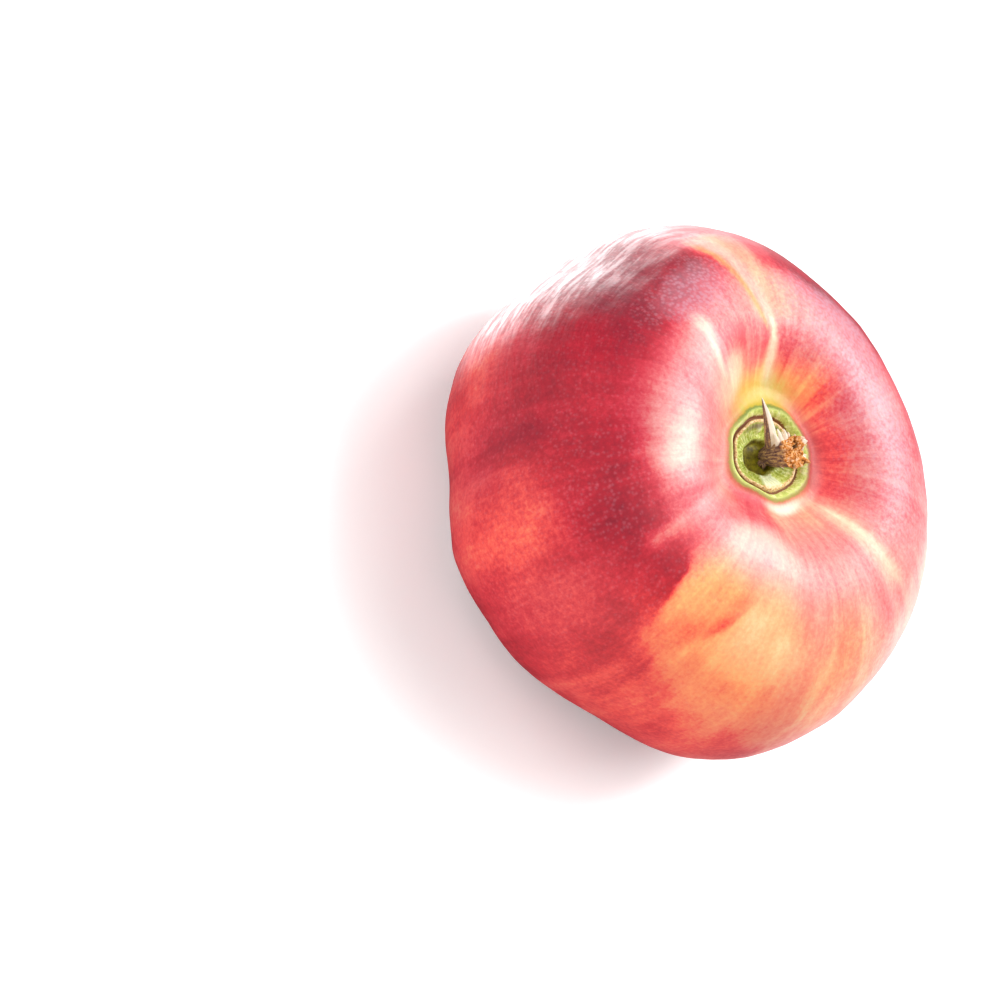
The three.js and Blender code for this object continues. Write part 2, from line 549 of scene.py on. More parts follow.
@dataclass
class FruitShape:
    """The skin's surface over azimuth and section angle, in millimetres from its own axis."""

    FAR: ClassVar[float] = 99.0  # a radius outside the scar

    waist_radius: float = 33.5
    stem_half: float = 23.6  # height over the widest level, before the cavity is sunk
    blossom_half: float = 22.2
    squareness: float = 2.35  # power of the superellipse, 2 is an ellipse
    stem_cavity: Dip = Dip(8.8, 12.3, 2.6)
    blossom_hollow: Dip = Dip(12.0, 12.0, 2.0)
    tube_radius: float = 18.8  # radius of the ring towards which the creases push
    seat_drop: float = 18.55  # how far the flats lie below the widest level
    swellings: tuple[Swelling, ...] = (
        Swelling(343, 1.2, 19),
        Swelling(28, 0.8, 30),
        Swelling(147, 0.9, 24),
        Swelling(193, -1.1, 13),
        Swelling(242, -1.7, 14),
        Swelling(312, -1.9, 22),
    )
    creases: tuple[Crease, ...] = (
        Crease(149, 20, 1.3, 0.1),
        Crease(22, 0, 1.1, 0.1),
        Crease(275, 5, 1.1, 0.3),
    )
    fold: Pair = (0.22, 1.5)  # share of the crease's depth, width
    valley: Pair = (1.1, 6.0)  # share of the crease's depth, width
    crease_start: Pair = (5.2, 8.5)  # radii where it is none and full
    crease_end: Pair = (30.0, 20.0)  # arcs past which and up to which it is deep
    feet: tuple[int, float, float, float] = (3, 95.0, 0.45, 9.0)  # count, azimuth, swell, fade
    oval: Triple = (0.95, 1.13, 12.0)  # scar's x and y shares, fade
    scar_waves: tuple[tuple[int, float, float], ...] = (  # count, share of the radius, shift
        (2, 0.020, 0.6),
        (3, 0.014, 2.0),
        (7, 0.010, 0.0),
    )
    rings: tuple[Ring, ...] = (Ring(5.85, 0.62, 0.5), Ring(5.0, 0.2, -0.6), Ring(4.55, 0.2, 0.28))
    bowl: Step = Step(4.35, 2.9, 0.55)
    pit: Step = Step(2.5, 2.0, 1.1)
    columns: int = 480
    body_rows: int = 138
    scar_edge: float = 8.4
    scar_row: float = 0.14  # distance of the rows inside the scar's edge
    last_row: float = 0.35  # radius inside which there are no more rows
    azimuth: Array = field(init=False, repr=False)
    radius: Array = field(init=False, repr=False)
    plain_height: Array = field(init=False, repr=False)
    arc: Array = field(init=False, repr=False)

    def __post_init__(self) -> None:
        """Lays out the grid and works out the plain section on it.

        The azimuth, radius, plain height and arc of the grid's points are kept as arrays of
        rows by columns. The arc is the length of the legs from a row to the last, plus the
        last row's radius.
        """
        azimuth = np.arange(self.columns) * 360.0 / self.columns
        radius, height = self.section(self.row_angles())
        walked = np.concatenate([[0.0], np.cumsum(np.hypot(np.diff(radius), np.diff(height)))])
        arc = walked[-1] - walked + radius[-1]
        rows = (radius[:, None], height[:, None], arc[:, None])
        self.azimuth, self.radius, self.plain_height, self.arc = np.broadcast_arrays(azimuth, *rows)

    def row_angles(self) -> Array:
        """Angles of the rows: even over the body, then by radius through the scar.

        Returns:
            Angles from just past the blossom end, 0, to just before the stem end, pi.
        """
        start = math.pi - math.asin(self.scar_edge / self.stem_half)
        body = np.arange(1, self.body_rows + 1) / (self.body_rows + 1) * start
        radii = np.arange(self.scar_edge, self.last_row, -self.scar_row)
        return np.concatenate([body, math.pi - np.arcsin(radii / self.stem_half)])

    def section(self, angle: Array) -> tuple[Array, Array]:
        """The half section: a superellipse, sunk at both ends.

        Its reach is (|sine/waist|^n + |cosine/half height|^n)^(-1/n), and each hollow's depth
        is scaled by the root of the plain height over the half height.

        Args:
            angle: From 0 at the blossom end to pi at the stem end.

        Returns:
            Radius and height of each point.
        """
        across, up = np.sin(angle), -np.cos(angle)
        half = np.where(up > 0, self.stem_half, self.blossom_half)
        powers = (across / self.waist_radius) ** self.squareness + (abs(up) / half) ** self.squareness
        reach = powers ** (-1.0 / self.squareness)
        radius, plain = reach * across, reach * up
        sunk = np.where(up > 0, -self.stem_cavity.sunk(radius), self.blossom_hollow.sunk(radius))
        return radius, plain + sunk * np.sqrt(np.abs(plain) / half)

    def scar_radius(self) -> Array:
        """The radius in the scar, with the uneven round of its rings.

        The unevenness is a few waves round the axis, at most a twentieth of the radius.

        Returns:
            The radius on the grid's upper half, and FAR, which is outside the scar, on the lower.
        """
        a = np.radians(self.azimuth)
        waves = sum(height * np.cos(count * a + shift) for count, height, shift in self.scar_waves)
        return np.where(self.plain_height > 0, self.radius * (1.0 + waves), self.FAR)

    def barrel(self, round_scale: float, along_scale: float) -> Array:
        """Places on a round barrel as wide as the fruit.

        Noise at these places turns into streaks along the side that is scaled down.

        Args:
            round_scale: Scale of the barrel's round.
            along_scale: Scale of the arc, which runs along the barrel.

        Returns:
            Rows by columns by 3.
        """
        a, wide = np.radians(self.azimuth), self.waist_radius * round_scale
        return np.stack([wide * np.cos(a), wide * np.sin(a), along_scale * self.arc], axis=-1)

    def scar_relief(self) -> Array:
        """The height of the scar over the plain cavity floor.

        Returns:
            The rings added up, less the sunk bowl and pit.
        """
        radius = self.scar_radius()
        relief = sum(ring.height * bell(radius - ring.radius, ring.width) for ring in self.rings)
        return relief - self.bowl.sunk(radius) - self.pit.sunk(radius)

    def crease_push(self, radius: Array, height: Array) -> Array:
        """How far the creases push the skin inwards.

        Each crease is a narrow fold in a wide valley, both bells, and weaker down the side.

        Args:
            radius: Distance from the axis on the grid.
            height: Height over the widest level on the grid.

        Returns:
            The push in mm.
        """
        topness = np.clip(height / self.stem_half, 0.0, 1.0) * ease(self.arc, *self.crease_end)
        total = np.zeros(radius.shape)
        for crease in self.creases:
            aside = crease.aside(self.azimuth, radius, self.waist_radius)
            parts = (share * bell(aside, width) for share, width in (self.fold, self.valley))
            total += crease.depth * toward(crease.side, 1.0, topness) * sum(parts)
        return total * ease(radius, *self.crease_start)

    def points(self) -> Array:
        """The skin's points before the fine relief, rows by columns by 3.

        Returns:
            The section turned round the axis, swollen, creased and seated on three low feet.
        """
        swell = sum(s.height * bell(turn(self.azimuth, s.azimuth), s.spread) for s in self.swellings)
        r = self.radius * (1.0 + swell / self.waist_radius)
        count, azimuth, rise, fade = self.feet
        low = np.clip(-self.plain_height / self.blossom_half, 0.0, 1.0) * (1.0 - bell(self.radius, fade))
        z = self.plain_height - rise * low * np.cos(np.radians(count * (self.azimuth - azimuth)))
        away = np.hypot(r - self.tube_radius, z)
        push = self.crease_push(r, z)
        r, z = r - push * (r - self.tube_radius) / away, z - push * z / away
        z = z + self.scar_relief()
        wide, long, fade = self.oval
        near = np.where(self.plain_height > 0, bell(self.radius, fade), 0.0)
        a = np.radians(self.azimuth)
        x = r * np.cos(a) * (1.0 + (wide - 1.0) * near)
        y = r * np.sin(a) * (1.0 + (long - 1.0) * near)
        return np.stack([x, y, np.maximum(z, -self.seat_drop)], axis=-1)

    def axis_place(self, points: Array) -> Array:
        """Where the fruit's own axis and widest level stand in the frame, in millimetres.

        Args:
            points: The skin's points before the fine relief.

        Returns:
            The shift that puts the middle of the points over the middle of the frame's fruit.
        """
        low, high = (np.array(corner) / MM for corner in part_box("fruit"))
        middle = (points.min(axis=(0, 1)) + points.max(axis=(0, 1))) / 2.0
        shift = (low + high) / 2.0 - middle
        return np.array([shift[0], shift[1], self.seat_drop + low[2]])


def normals(points: Array) -> Array:
    """Outward unit normals of a grid surface whose columns close on themselves.

    They are the cross product of the steps along the columns and along the rows.

    Args:
        points: Rows by columns by 3.

    Returns:
        A unit vector for each point.
    """
    round_it = np.roll(points, -1, axis=1) - np.roll(points, 1, axis=1)
    up_it = np.gradient(points, axis=0)
    across = np.cross(round_it, up_it)
    return across / np.linalg.norm(across, axis=-1, keepdims=True)


# ---- What is painted on the skin -----------------------------------------------------------


class Layer(Enum):
    """Values painted on the skin's points."""

    BLUSH = "blush"  # how dense the red is: 0 cream or yellow, 1 wine
    COOLNESS = "coolness"  # 0 orange reds on a yellow ground, 1 pink reds on a cream ground
    HAZE = "haze"  # greyish lilac bloom
    OLIVE = "olive"  # green tint of the blossom hollow's floor
    SCAR = "scar"  # radius in the stalk's scar
    GROOVE = "groove"  # how wide the brown groove is, wider on one side as painted shade of the lip
    SHADE = "shade"  # painted shade: a dark line inside the lip, where the lip's shadow falls
    STAIN = "stain"  # how strong the stain round the scar is
    STAIN_HUE = "stain_hue"  # from yellow to brown
    FLAP = "flap"  # the torn flap of flesh in the bowl
    FLOW = "flow"  # place on the skin with its length along the arc squeezed
    SWIRL = "swirl"  # place on the skin with its length round the fruit squeezed
    GLAZE = "glaze"  # where the wax lies thick


@dataclass(frozen=True)
class Chart:
    """Where the points of the skin's grid lie, as the marks read it.

    Attributes:
        azimuth: Degrees round the axis.
        arc: Millimetres from the stem end.
        aside: Millimetres beside each crease's line.
    """

    azimuth: Array
    arc: Array
    aside: Sequence[Array] = ()


@dataclass(frozen=True)
class Wash:
    """A soft patch that draws a painted value towards its own.

    Attributes:
        azimuth: Middle of the patch, in degrees.
        arc: Middle of the patch, in mm from the stem end.
        across: Half width in degrees.
        along: Half length in mm.
        value: What the patch draws the value towards.
        edge: 2 is a plain bell, more is a crisper edge.
        lean: How many degrees the patch leans for each mm of arc.
        strength: 1 reaches the value in the middle.
    """

    azimuth: float
    arc: float
    across: float
    along: float
    value: float
    edge: float = 2.0
    lean: float = 0.0
    strength: float = 1.0

    def share(self, chart: Chart) -> Array:
        """How strong the patch is: a bell of the oval distance from its middle.

        Args:
            chart: Where the points lie.

        Returns:
            The strength on the grid.
        """
        past = chart.arc - self.arc
        beside = turn(chart.azimuth, self.azimuth + self.lean * past) / self.across
        return self.strength * bell(np.hypot(beside, past / self.along), 1.0, self.edge)

    def over(self, painted: Array, chart: Chart) -> Array:
        """The painted values with this patch laid over them."""
        return toward(painted, self.value, self.share(chart))


@dataclass(frozen=True)
class Cut:
    """A patch that stops at a crisp, leaning line.

    Attributes:
        wash: The patch.
        azimuth: Where the line lies at the arc, in degrees; the patch lies past it.
        arc: The arc in question, in mm.
        lean: How many degrees the line leans for each mm of arc.
        soft: Half width of the line's edge, in degrees.
        reach: Degrees past the line at which the patch is gone and up to which it is full.
    """

    wash: Wash
    azimuth: float
    arc: float
    lean: float
    soft: float = 1.4
    reach: Pair = (120.0, 90.0)

    def over(self, painted: Array, chart: Chart) -> Array:
        """The painted values with the patch laid over them as far as the line.

        Args:
            painted: The values so far.
            chart: Where the points lie.

        Returns:
            The new values on the grid.
        """
        past = turn(chart.azimuth, self.azimuth + self.lean * (chart.arc - self.arc))
        share = ease(past, -self.soft, self.soft) * ease(past, *self.reach)
        return toward(painted, self.wash.over(painted, chart), share)


@dataclass(frozen=True)
class Stroke:
    """A line painted along a crease, from one arc to another.

    Attributes:
        crease: Number of the crease.
        start: Arc where it begins.
        end: Arc where it ends.
        widths: Half widths at the start and at the end, in mm.
        value: What it draws the value towards.
        offset: How far it lies beside the crease at its start, in mm.
        drift: How much farther it lies beside the crease at its end.
        edge: 2 is a plain bell, more is a crisper edge.
        strength: 1 reaches the value in the middle.
        tails: How far it fades past its start and past its end, in mm.
    """

    crease: int
    start: float
    end: float
    widths: Pair
    value: float
    offset: float = 0.0
    drift: float = 0.0
    edge: float = 2.0
    strength: float = 1.0
    tails: Pair = (1.0, 2.0)

    def over(self, painted: Array, chart: Chart) -> Array:
        """The painted values with this line laid over them.

        The line is a bell of the distance beside it, and fades at both ends.

        Args:
            painted: The values so far.
            chart: Where the points lie.

        Returns:
            The new values on the grid.
        """
        share = np.clip((chart.arc - self.start) / (self.end - self.start), 0.0, 1.0)
        width = toward(self.widths[0], self.widths[1], share)
        line = bell(chart.aside[self.crease] - self.offset - self.drift * share, width, self.edge)
        before, after = self.tails
        begins = ease(chart.arc, self.start - before, self.start + before)
        ends = ease(chart.arc, self.end + after, self.end - after)
        return toward(painted, self.value, self.strength * line * begins * ends)


Mark = Wash | Cut | Stroke
A, B, C = 0, 1, 2  # the creases, in the order of FruitShape


@dataclass(frozen=True)
class Side:
    """A stretch of the round, as a bell of the azimuth, in degrees."""

    azimuth: float
    spread: float
    edge: float

    def at(self, azimuth: Array) -> Array:
        """1 in the middle of the stretch, 0 away from it."""
        return bell(turn(azimuth, self.azimuth), self.spread, self.edge)


@dataclass(frozen=True)
class ScarPaint:
    """What is painted in and round the scar of the stalk. Radii and widths are in mm."""

    groove_width: Triple = (0.19, 0.08, 235.0)  # mean, swing, widest at; the swing is painted shade of the lip
    shade_edge: float = 4.30  # radius at which the painted shade meets the lip
    shade_width: Pair = (0.08, 0.24)  # least, and more on the shade's wide side
    crisp: float = 3.0  # flatness of the bells of the shade and of the blob
    # where the painted shade inside the lip is widest, and the stretch it covers
    shade_wide: Side = Side(174, 26, 3)
    shade_side: Side = Side(120, 72, 5)
    yellow_side: Side = Side(164, 42, 4)
    brown_side: Side = Side(68, 46, 3)
    orange_side: Side = Side(84, 72, 4)
    bare_side: Side = Side(348, 26, 3)
    bare: Triple = (0.85, 6.3, 6.7)  # share of the stain lost, and from where
    stain: Pair = (0.55, 0.42)  # strength, and more on the yellow side
    stain_full: float = 6.1  # radius inside which the stain is full
    stain_reach: Triple = (7.2, 1.6, 3.8)  # its end: plain, more on orange, on yellow
    flap_inside: Pair = (2.3, 2.7)
    flap_outside: Pair = (4.5, 4.2)
    flap_from: Pair = (-36.0, -32.0)  # azimuths
    flap_to: Pair = (14.0, 0.0)
    blob: tuple[float, float, float, float] = (158.0, 3.55, 3.6, 0.42)  # azimuth, radius, mm per radian, size
    blob_height: float = 0.8

    def paint(self, shape: FruitShape) -> dict[Enum, Array]:
        """Works out the scar's painted values.

        Args:
            shape: The fruit's grid.

        Returns:
            Values on the grid by layer.
        """
        scar = shape.scar_radius()
        mean, swing, widest = self.groove_width
        least, more = self.shade_width
        half = least + more * self.shade_wide.at(shape.azimuth)
        shade = bell(scar - self.shade_edge + half, half, self.crisp) * self.shade_side.at(shape.azimuth)
        yellow = self.yellow_side.at(shape.azimuth)
        hue = toward(toward(0.5, 1.0, self.brown_side.at(shape.azimuth)), 0.0, yellow)
        return {
            Layer.SCAR: scar,
            Layer.GROOVE: mean + swing * np.cos(np.radians(shape.azimuth - widest)),
            Layer.SHADE: shade,
            Layer.STAIN: self.stains(shape, scar, yellow),
            Layer.STAIN_HUE: hue,
            Layer.FLAP: np.where(shape.plain_height > 0, self.flap(shape), 0.0),
        }

    def stains(self, shape: FruitShape, scar: Array, yellow: Array) -> Array:
        """How strong the stain round the scar is.

        Args:
            shape: The fruit's grid.
            scar: The radius in the scar.
            yellow: 1 on the yellow side.

        Returns:
            The strength on the grid: full inside the collar, fading out over its reach.
        """
        lost, start, end = self.bare
        bare = 1.0 - lost * self.bare_side.at(shape.azimuth) * ease(scar, start, end)
        plain, by_orange, by_yellow = self.stain_reach
        reach = plain + by_orange * self.orange_side.at(shape.azimuth) + by_yellow * yellow
        strength = self.stain[0] + self.stain[1] * yellow
        return strength * ease(scar, reach, self.stain_full) * bare

    def flap(self, shape: FruitShape) -> Array:
        """The torn flap of flesh in the bowl, with a blob across from it.

        Args:
            shape: The fruit's grid.

        Returns:
            1 on the flap.
        """
        flap = ease(shape.radius, *self.flap_inside) * ease(shape.radius, *self.flap_outside)
        (start, full), (end, whole) = self.flap_from, self.flap_to
        flap = flap * ease(turn(shape.azimuth, start), 0.0, full - start)
        flap = flap * ease(turn(shape.azimuth, end), 0.0, whole - end)
        azimuth, radius, along, size = self.blob
        away = np.hypot(np.radians(turn(shape.azimuth, azimuth)) * along, shape.radius - radius)
        return np.maximum(flap, self.blob_height * bell(away, size, self.crisp))


@dataclass(frozen=True)
class Complexion:
    """Where the skin is yellow, orange, red, wine or cream."""

    blush_ground: float = 0.60
    blush: tuple[Mark, ...] = (
        # the far side and the underside
        Wash(95, 49, 80, 20, 0.70, 4),
        Wash(60, 40, 16, 9, 0.46, 2, 1.0),
        Wash(128, 50, 13, 9, 0.48, 2, -0.8),
        Wash(0, 78, 400, 16, 0.78, 6),
        # the cheek towards the front, from left to right
        Wash(258, 44, 54, 16, 0.535, 6),
        Wash(245, 55, 40, 6, 0.48, 2),
        Wash(224, 45, 10, 11, 0.50, 2),
        Wash(242, 41, 6.5, 9, 0.64, 2),
        Wash(262, 44.5, 10.5, 8.5, 0.41, 3),
        Wash(288, 46, 8, 8, 0.51, 2),
        Wash(308, 50, 16, 9, 0.41, 3),
        Wash(345, 38, 26, 16, 0.31, 4),
        # the two shoulders, with a painted reflection on the right rim and painted highlights on the left
        Wash(14, 24, 50, 17, 0.28, 4),
        # painted reflection: the whitish rim of the right shoulder
        Wash(32, 31, 20, 5, 0.16, 2),
        Wash(352, 20, 14, 5, 0.33, 2),
        Wash(88, 19, 70, 8, 0.34, 4),
        Wash(128, 27.2, 24, 1.3, 0.68, 3),
        Wash(88, 25.6, 26, 0.8, 0.46, 2),
        # pale pink ring round the cavity on the left shoulder, partly painted highlight
        Wash(243, 16.5, 52, 8.5, 0.33, 4),
        # painted highlight: the pale oval on the left shoulder
        Wash(250, 18.8, 14, 4.6, 0.13, 2),
        Wash(160, 20.5, 44, 4.0, 0.29, 3),
        Wash(210, 10, 15, 5, 0.23, 3),
        Wash(206, 17, 8, 4, 0.25, 2),
        Wash(286, 13, 10, 6, 0.34, 2),
        Wash(277, 19, 9, 5, 0.40, 2),
        # the wine crescent on the left shoulder
        Wash(192, 38, 22, 9, 0.76, 3),
        Wash(184, 28.4, 15, 4.6, 0.76, 3),
        Wash(205, 28.8, 16, 4.2, 0.68, 3),
        Wash(200, 32.5, 18, 5.5, 0.82, 3),
        Wash(222, 33, 15, 6.5, 0.64, 3),
        Wash(247, 31, 15, 5.8, 0.60, 3),
        Wash(270, 29, 13, 5.4, 0.65, 3),
        Wash(283, 32, 7, 5, 0.56, 2),
        # the walls of the stem cavity
        Wash(238, 7.5, 40, 5.0, 0.31, 3),
        Wash(308, 10, 12, 4.0, 0.40, 2),
        Wash(335, 9.5, 16, 5.0, 0.26, 3),
        Wash(80, 13.5, 42, 3.0, 0.40, 2),
        Wash(62, 8.5, 42, 4.0, 0.48, 3),
        Wash(104, 9.0, 14, 3.6, 0.36, 2),
        Wash(128, 11, 13, 5.0, 0.27, 3),
        Wash(8, 8.5, 22, 4.5, 0.24, 3),
        Wash(348, 7.4, 22, 0.9, 0.0, 3),
        # the gold patches
        Cut(Wash(300, 27, 17, 11, 0.23, 5), 290, 28, 1.45),
        Wash(310, 29, 5, 7, 0.35, 2, -1.0),
        Wash(300, 34, 7, 3.5, 0.36, 2, 0.5),
        Cut(Wash(326, 47, 34, 9, 0.46, 4), 306, 38, -0.6, 2.5),
        Cut(Wash(325, 36, 19, 8, 0.28, 3), 311, 30, -1.05),
        Cut(Wash(322, 29.5, 14, 6, 0.13, 5), 311, 30, -1.05),
        Wash(345, 34, 1.6, 11, 0.20, 2, -0.15),
        # pale cream on the lower lobe, partly painted highlight where the broad sheen lies (this and the
        # next)
        Wash(310, 17.5, 22, 4.6, 0.13, 4),
        Wash(317, 22, 21, 4, 0.16, 2),
        # the pale fan beside the stalk, and the painted highlight of a white streak
        Wash(166, 14.5, 10, 4.5, 0.36, 3),
        Wash(189, 11.5, 15, 4.2, 0.04, 3),
        # painted highlight: the white streak, in two patches
        Wash(197.5, 20.0, 4.5, 2.3, 0.04, 2),
        Wash(200.5, 16.4, 3, 4, 0.05, 2, -0.8),
        Wash(158, 7.5, 30, 4.2, 0.10, 3),
        Stroke(A, 18, 33, (3.4, 5.4), 0.22, -0.5, 0.5, 2),
        Stroke(A, 17, 31, (0.9, 2.3), 0.17, 0.6, 1.6, 3),
        Stroke(A, 16, 30, (0.35, 0.7), 0.24, 1.1, 3.2, 2),
        Stroke(A, 8, 19, (1.3, 0.40), 0.07),
        Stroke(B, 9, 25, (1.8, 2.2), 0.22, -0.6),
        Stroke(B, 10, 24, (0.5, 1.1), 0.09),
        Stroke(C, 8, 28, (0.8, 1.1), 0.25, 0.0, 0.0, 2, 0.8),
    )
    coolness_ground: float = 0.55
    coolness: tuple[Mark, ...] = (
        Wash(60, 40, 18, 11, 0.0, 2, 1.0),
        Wash(128, 50, 16, 11, 0.1, 2, -0.8),
        Wash(258, 46, 54, 14, 0.52, 5),
        Wash(242, 41, 7, 9, 0.95, 2),
        Wash(262, 44.5, 12, 9.5, 0.18, 3),
        Wash(225, 46, 9, 10, 0.20, 2),
        Wash(218, 37, 20, 9, 0.90, 2),
        Wash(14, 24, 52, 18, 0.85, 4),
        Wash(88, 19, 70, 9, 1.0, 4),
        # cool pink of the left shoulder's ring, partly painted highlight
        Wash(245, 16, 54, 9, 1.0, 5),
        Wash(195, 29, 26, 9, 0.95, 3),
        Wash(246, 26, 30, 3.5, 1.0, 2),
        Wash(264, 29, 18, 6, 0.75, 3),
        Wash(304, 11, 16, 4.5, 1.0, 3),
        Wash(68, 8, 48, 4.2, 0.3, 3),
        Wash(120, 9.5, 20, 5, 0.05, 3),
        Wash(8, 8.5, 22, 4.5, 0.5, 3),
        Wash(348, 7.4, 22, 0.9, 1.0, 3),
        Wash(312, 38, 28, 18, 0.08, 4),
        Wash(352, 32, 16, 12, 0.30, 3),
        Wash(322, 27, 13, 6, 0.30, 3),
        Wash(301, 28, 12, 8, 0.10, 4),
        # cream of the lower lobe, partly painted highlight
        Wash(308, 18, 24, 5.0, 1.0, 4),
        Wash(190, 13, 15, 5.5, 0.7, 3),
        # painted highlight: the white streak made cool
        Wash(198, 18, 9, 5.5, 1.0, 3),
        Wash(182, 22, 20, 4.2, 1.0, 2),
        Wash(110, 30, 60, 6, 1.0, 3),
        Wash(158, 7.5, 30, 4.4, 0.0, 3),
        Wash(166, 14.5, 10, 4.5, 0.8, 3),
        Stroke(A, 18, 33, (3.4, 5.4), 0.55, -0.5, 0.5),
        Stroke(A, 17, 31, (1.0, 2.3), 0.85, 0.6, 1.6, 3),
        Stroke(A, 16, 30, (0.45, 0.8), 0.0, 1.1, 3.2),
        Stroke(A, 8, 20, (0.8, 0.8), 0.7),
        Stroke(B, 9, 25, (1.8, 2.6), 0.7),
    )
    haze_ground: float = 0.0
    haze: tuple[Mark, ...] = (
        Wash(245, 40, 60, 20, 0.19, 4),
        Wash(320, 30, 40, 20, 0.10, 4),
        Wash(88, 18.5, 70, 6.5, 0.86, 3),
        Wash(124, 24.5, 30, 4.0, 1.0, 3),
        Wash(70, 12.5, 50, 3, 0.35, 2),
        Wash(187, 24.0, 22, 5.0, 0.92, 3),
        Wash(5, 27, 28, 9, 0.30, 2),
        Wash(245, 18, 50, 5, 0.20, 3),
        Wash(262, 29, 26, 7, 0.36, 2),
        Wash(290, 26, 6, 6, 0.35, 2),
        Wash(195, 38, 22, 9, 0.35, 3),
        Wash(0, 74, 400, 12, 0.28, 4),
    )
    glaze: Wash = Wash(200, 40, 34, 15, 1.0, 4)
    olive: tuple[Pair, ...] = ((81.0, 92.0), (92.2, 93.6))  # arcs of two steps
    warp: Triple = (3.5, 0.9, 6.0)  # degrees, mm, size of the waves
    line_warp: Pair = (0.22, 2.5)  # mm, size of the waves
    mottle: Pair = (0.058, 6.0)  # amount, size
    streak: Triple = (0.04, 2.0, 0.14)  # amount, width, squeeze along the arc
    streak_start: Pair = (5.0, 9.0)  # arcs where they are none and full
    rays: Wash = Wash(115, 8.5, 60, 5, 1.0, strength=1.5)  # where the streaks are stronger
    swirl: Pair = (0.12, 1.0)  # scales round the fruit and along the arc
    scar: ScarPaint = field(default_factory=ScarPaint)

    def paint(self, shape: FruitShape, points: Array) -> dict[Enum, Array]:
        """Works out all painted values.

        Args:
            shape: The fruit's grid.
            points: The skin's points.

        Returns:
            Values on the grid by layer.
        """
        drift, other, lines, clouds, fibres = (Grain(seed) for seed in (11, 12, 13, 14, 15))
        degrees, length, size = self.warp
        azimuth = shape.azimuth + degrees * drift.at(points / size, 2)
        arc = shape.arc + length * other.at(points / size, 2)
        amount, size = self.line_warp
        wobble = amount * lines.at(points / size, 2)
        aside = [
            crease.aside(shape.azimuth, shape.radius, shape.waist_radius) + wobble
            for crease in shape.creases
        ]
        chart = Chart(azimuth, arc, aside)
        amount, size = self.mottle
        mottle = amount * clouds.at(points / size, 3)
        amount, width, squeeze = self.streak
        flow = shape.barrel(1.0, squeeze)
        amount = amount * (1.0 + self.rays.share(Chart(azimuth, shape.arc)))
        streaks = amount * fibres.at(flow / width, 3) * ease(shape.arc, *self.streak_start)
        return {
            Layer.BLUSH: self.lay(self.blush, self.blush_ground, chart) + mottle + streaks,
            Layer.COOLNESS: self.lay(self.coolness, self.coolness_ground, chart),
            Layer.HAZE: self.lay(self.haze, self.haze_ground, chart),
            Layer.OLIVE: sum(ease(arc, start, end) for start, end in self.olive),
            **self.scar.paint(shape),
            Layer.FLOW: flow,
            Layer.SWIRL: shape.barrel(*self.swirl),
            Layer.GLAZE: self.glaze.share(chart),
        }

    def lay(self, marks: Sequence[Mark], ground: float, chart: Chart) -> Array:
        """Lays marks over a ground, one over the other.

        Args:
            marks: The marks, the lowest first.
            ground: The value under all marks.
            chart: Where the points lie.

        Returns:
            The painted values on the grid.
        """
        painted = np.full(chart.arc.shape, ground)
        for mark in marks:
            painted = mark.over(painted, chart)
        return painted


@dataclass(frozen=True)
class SkinRelief:
    """The fine relief of the skin, in millimetres along its normal."""

    lumps: Pair = (0.16, 8.0)  # height, size
    dents: Pair = (0.05, 2.6)
    ripples: Triple = (0.11, 1.3, 7.0)  # height, size across, stretch
    ripple_place: Wash = Wash(205, 38, 45, 12, 1.0, 2)
    ripple_rest: float = 0.25  # share of the ripples elsewhere
    smooth_scar: Pair = (6.0, 10.0)  # radii where the relief is none and full
    striations: tuple[int, float] = (46, 0.05)  # count round the bowl, height
    striation_wander: Pair = (4.0, 1.2)  # radians, size
    striation_inside: Pair = (2.3, 2.8)  # radii
    striation_outside: Pair = (4.5, 4.1)
    flap_height: float = 0.42

    def height(self, shape: FruitShape, points: Array, paint: dict[Enum, Array]) -> Array:
        """The relief on the grid.

        Args:
            shape: The fruit's grid.
            points: The skin's points before the relief.
            paint: The painted values.

        Returns:
            Lumps and dents outside the scar, ripples where they lie, striations in the bowl.
        """
        lumps, dents, ripples = (Grain(seed) for seed in (21, 22, 23))
        relief = self.lumps[0] * lumps.at(points / self.lumps[1], 2)
        relief += self.dents[0] * dents.at(points / self.dents[1], 2)
        height, size, stretch = self.ripples
        where = self.ripple_rest + self.ripple_place.share(Chart(shape.azimuth, shape.arc))
        relief += height * ripples.at(shape.barrel(1.0 / stretch, 1.0) / size, 2) * where
        relief *= np.minimum(ease(shape.radius, *self.smooth_scar) + (shape.plain_height < 0), 1.0)
        scar = paint[Layer.SCAR]
        count, height = self.striations
        wander, size = self.striation_wander
        wave = np.cos(count * np.radians(shape.azimuth) + wander * ripples.at(points / size))
        bowl = ease(scar, *self.striation_inside) * ease(scar, *self.striation_outside)
        return relief + height * wave * bowl + self.flap_height * paint[Layer.FLAP]


# ---- Finishes ------------------------------------------------------------------------------


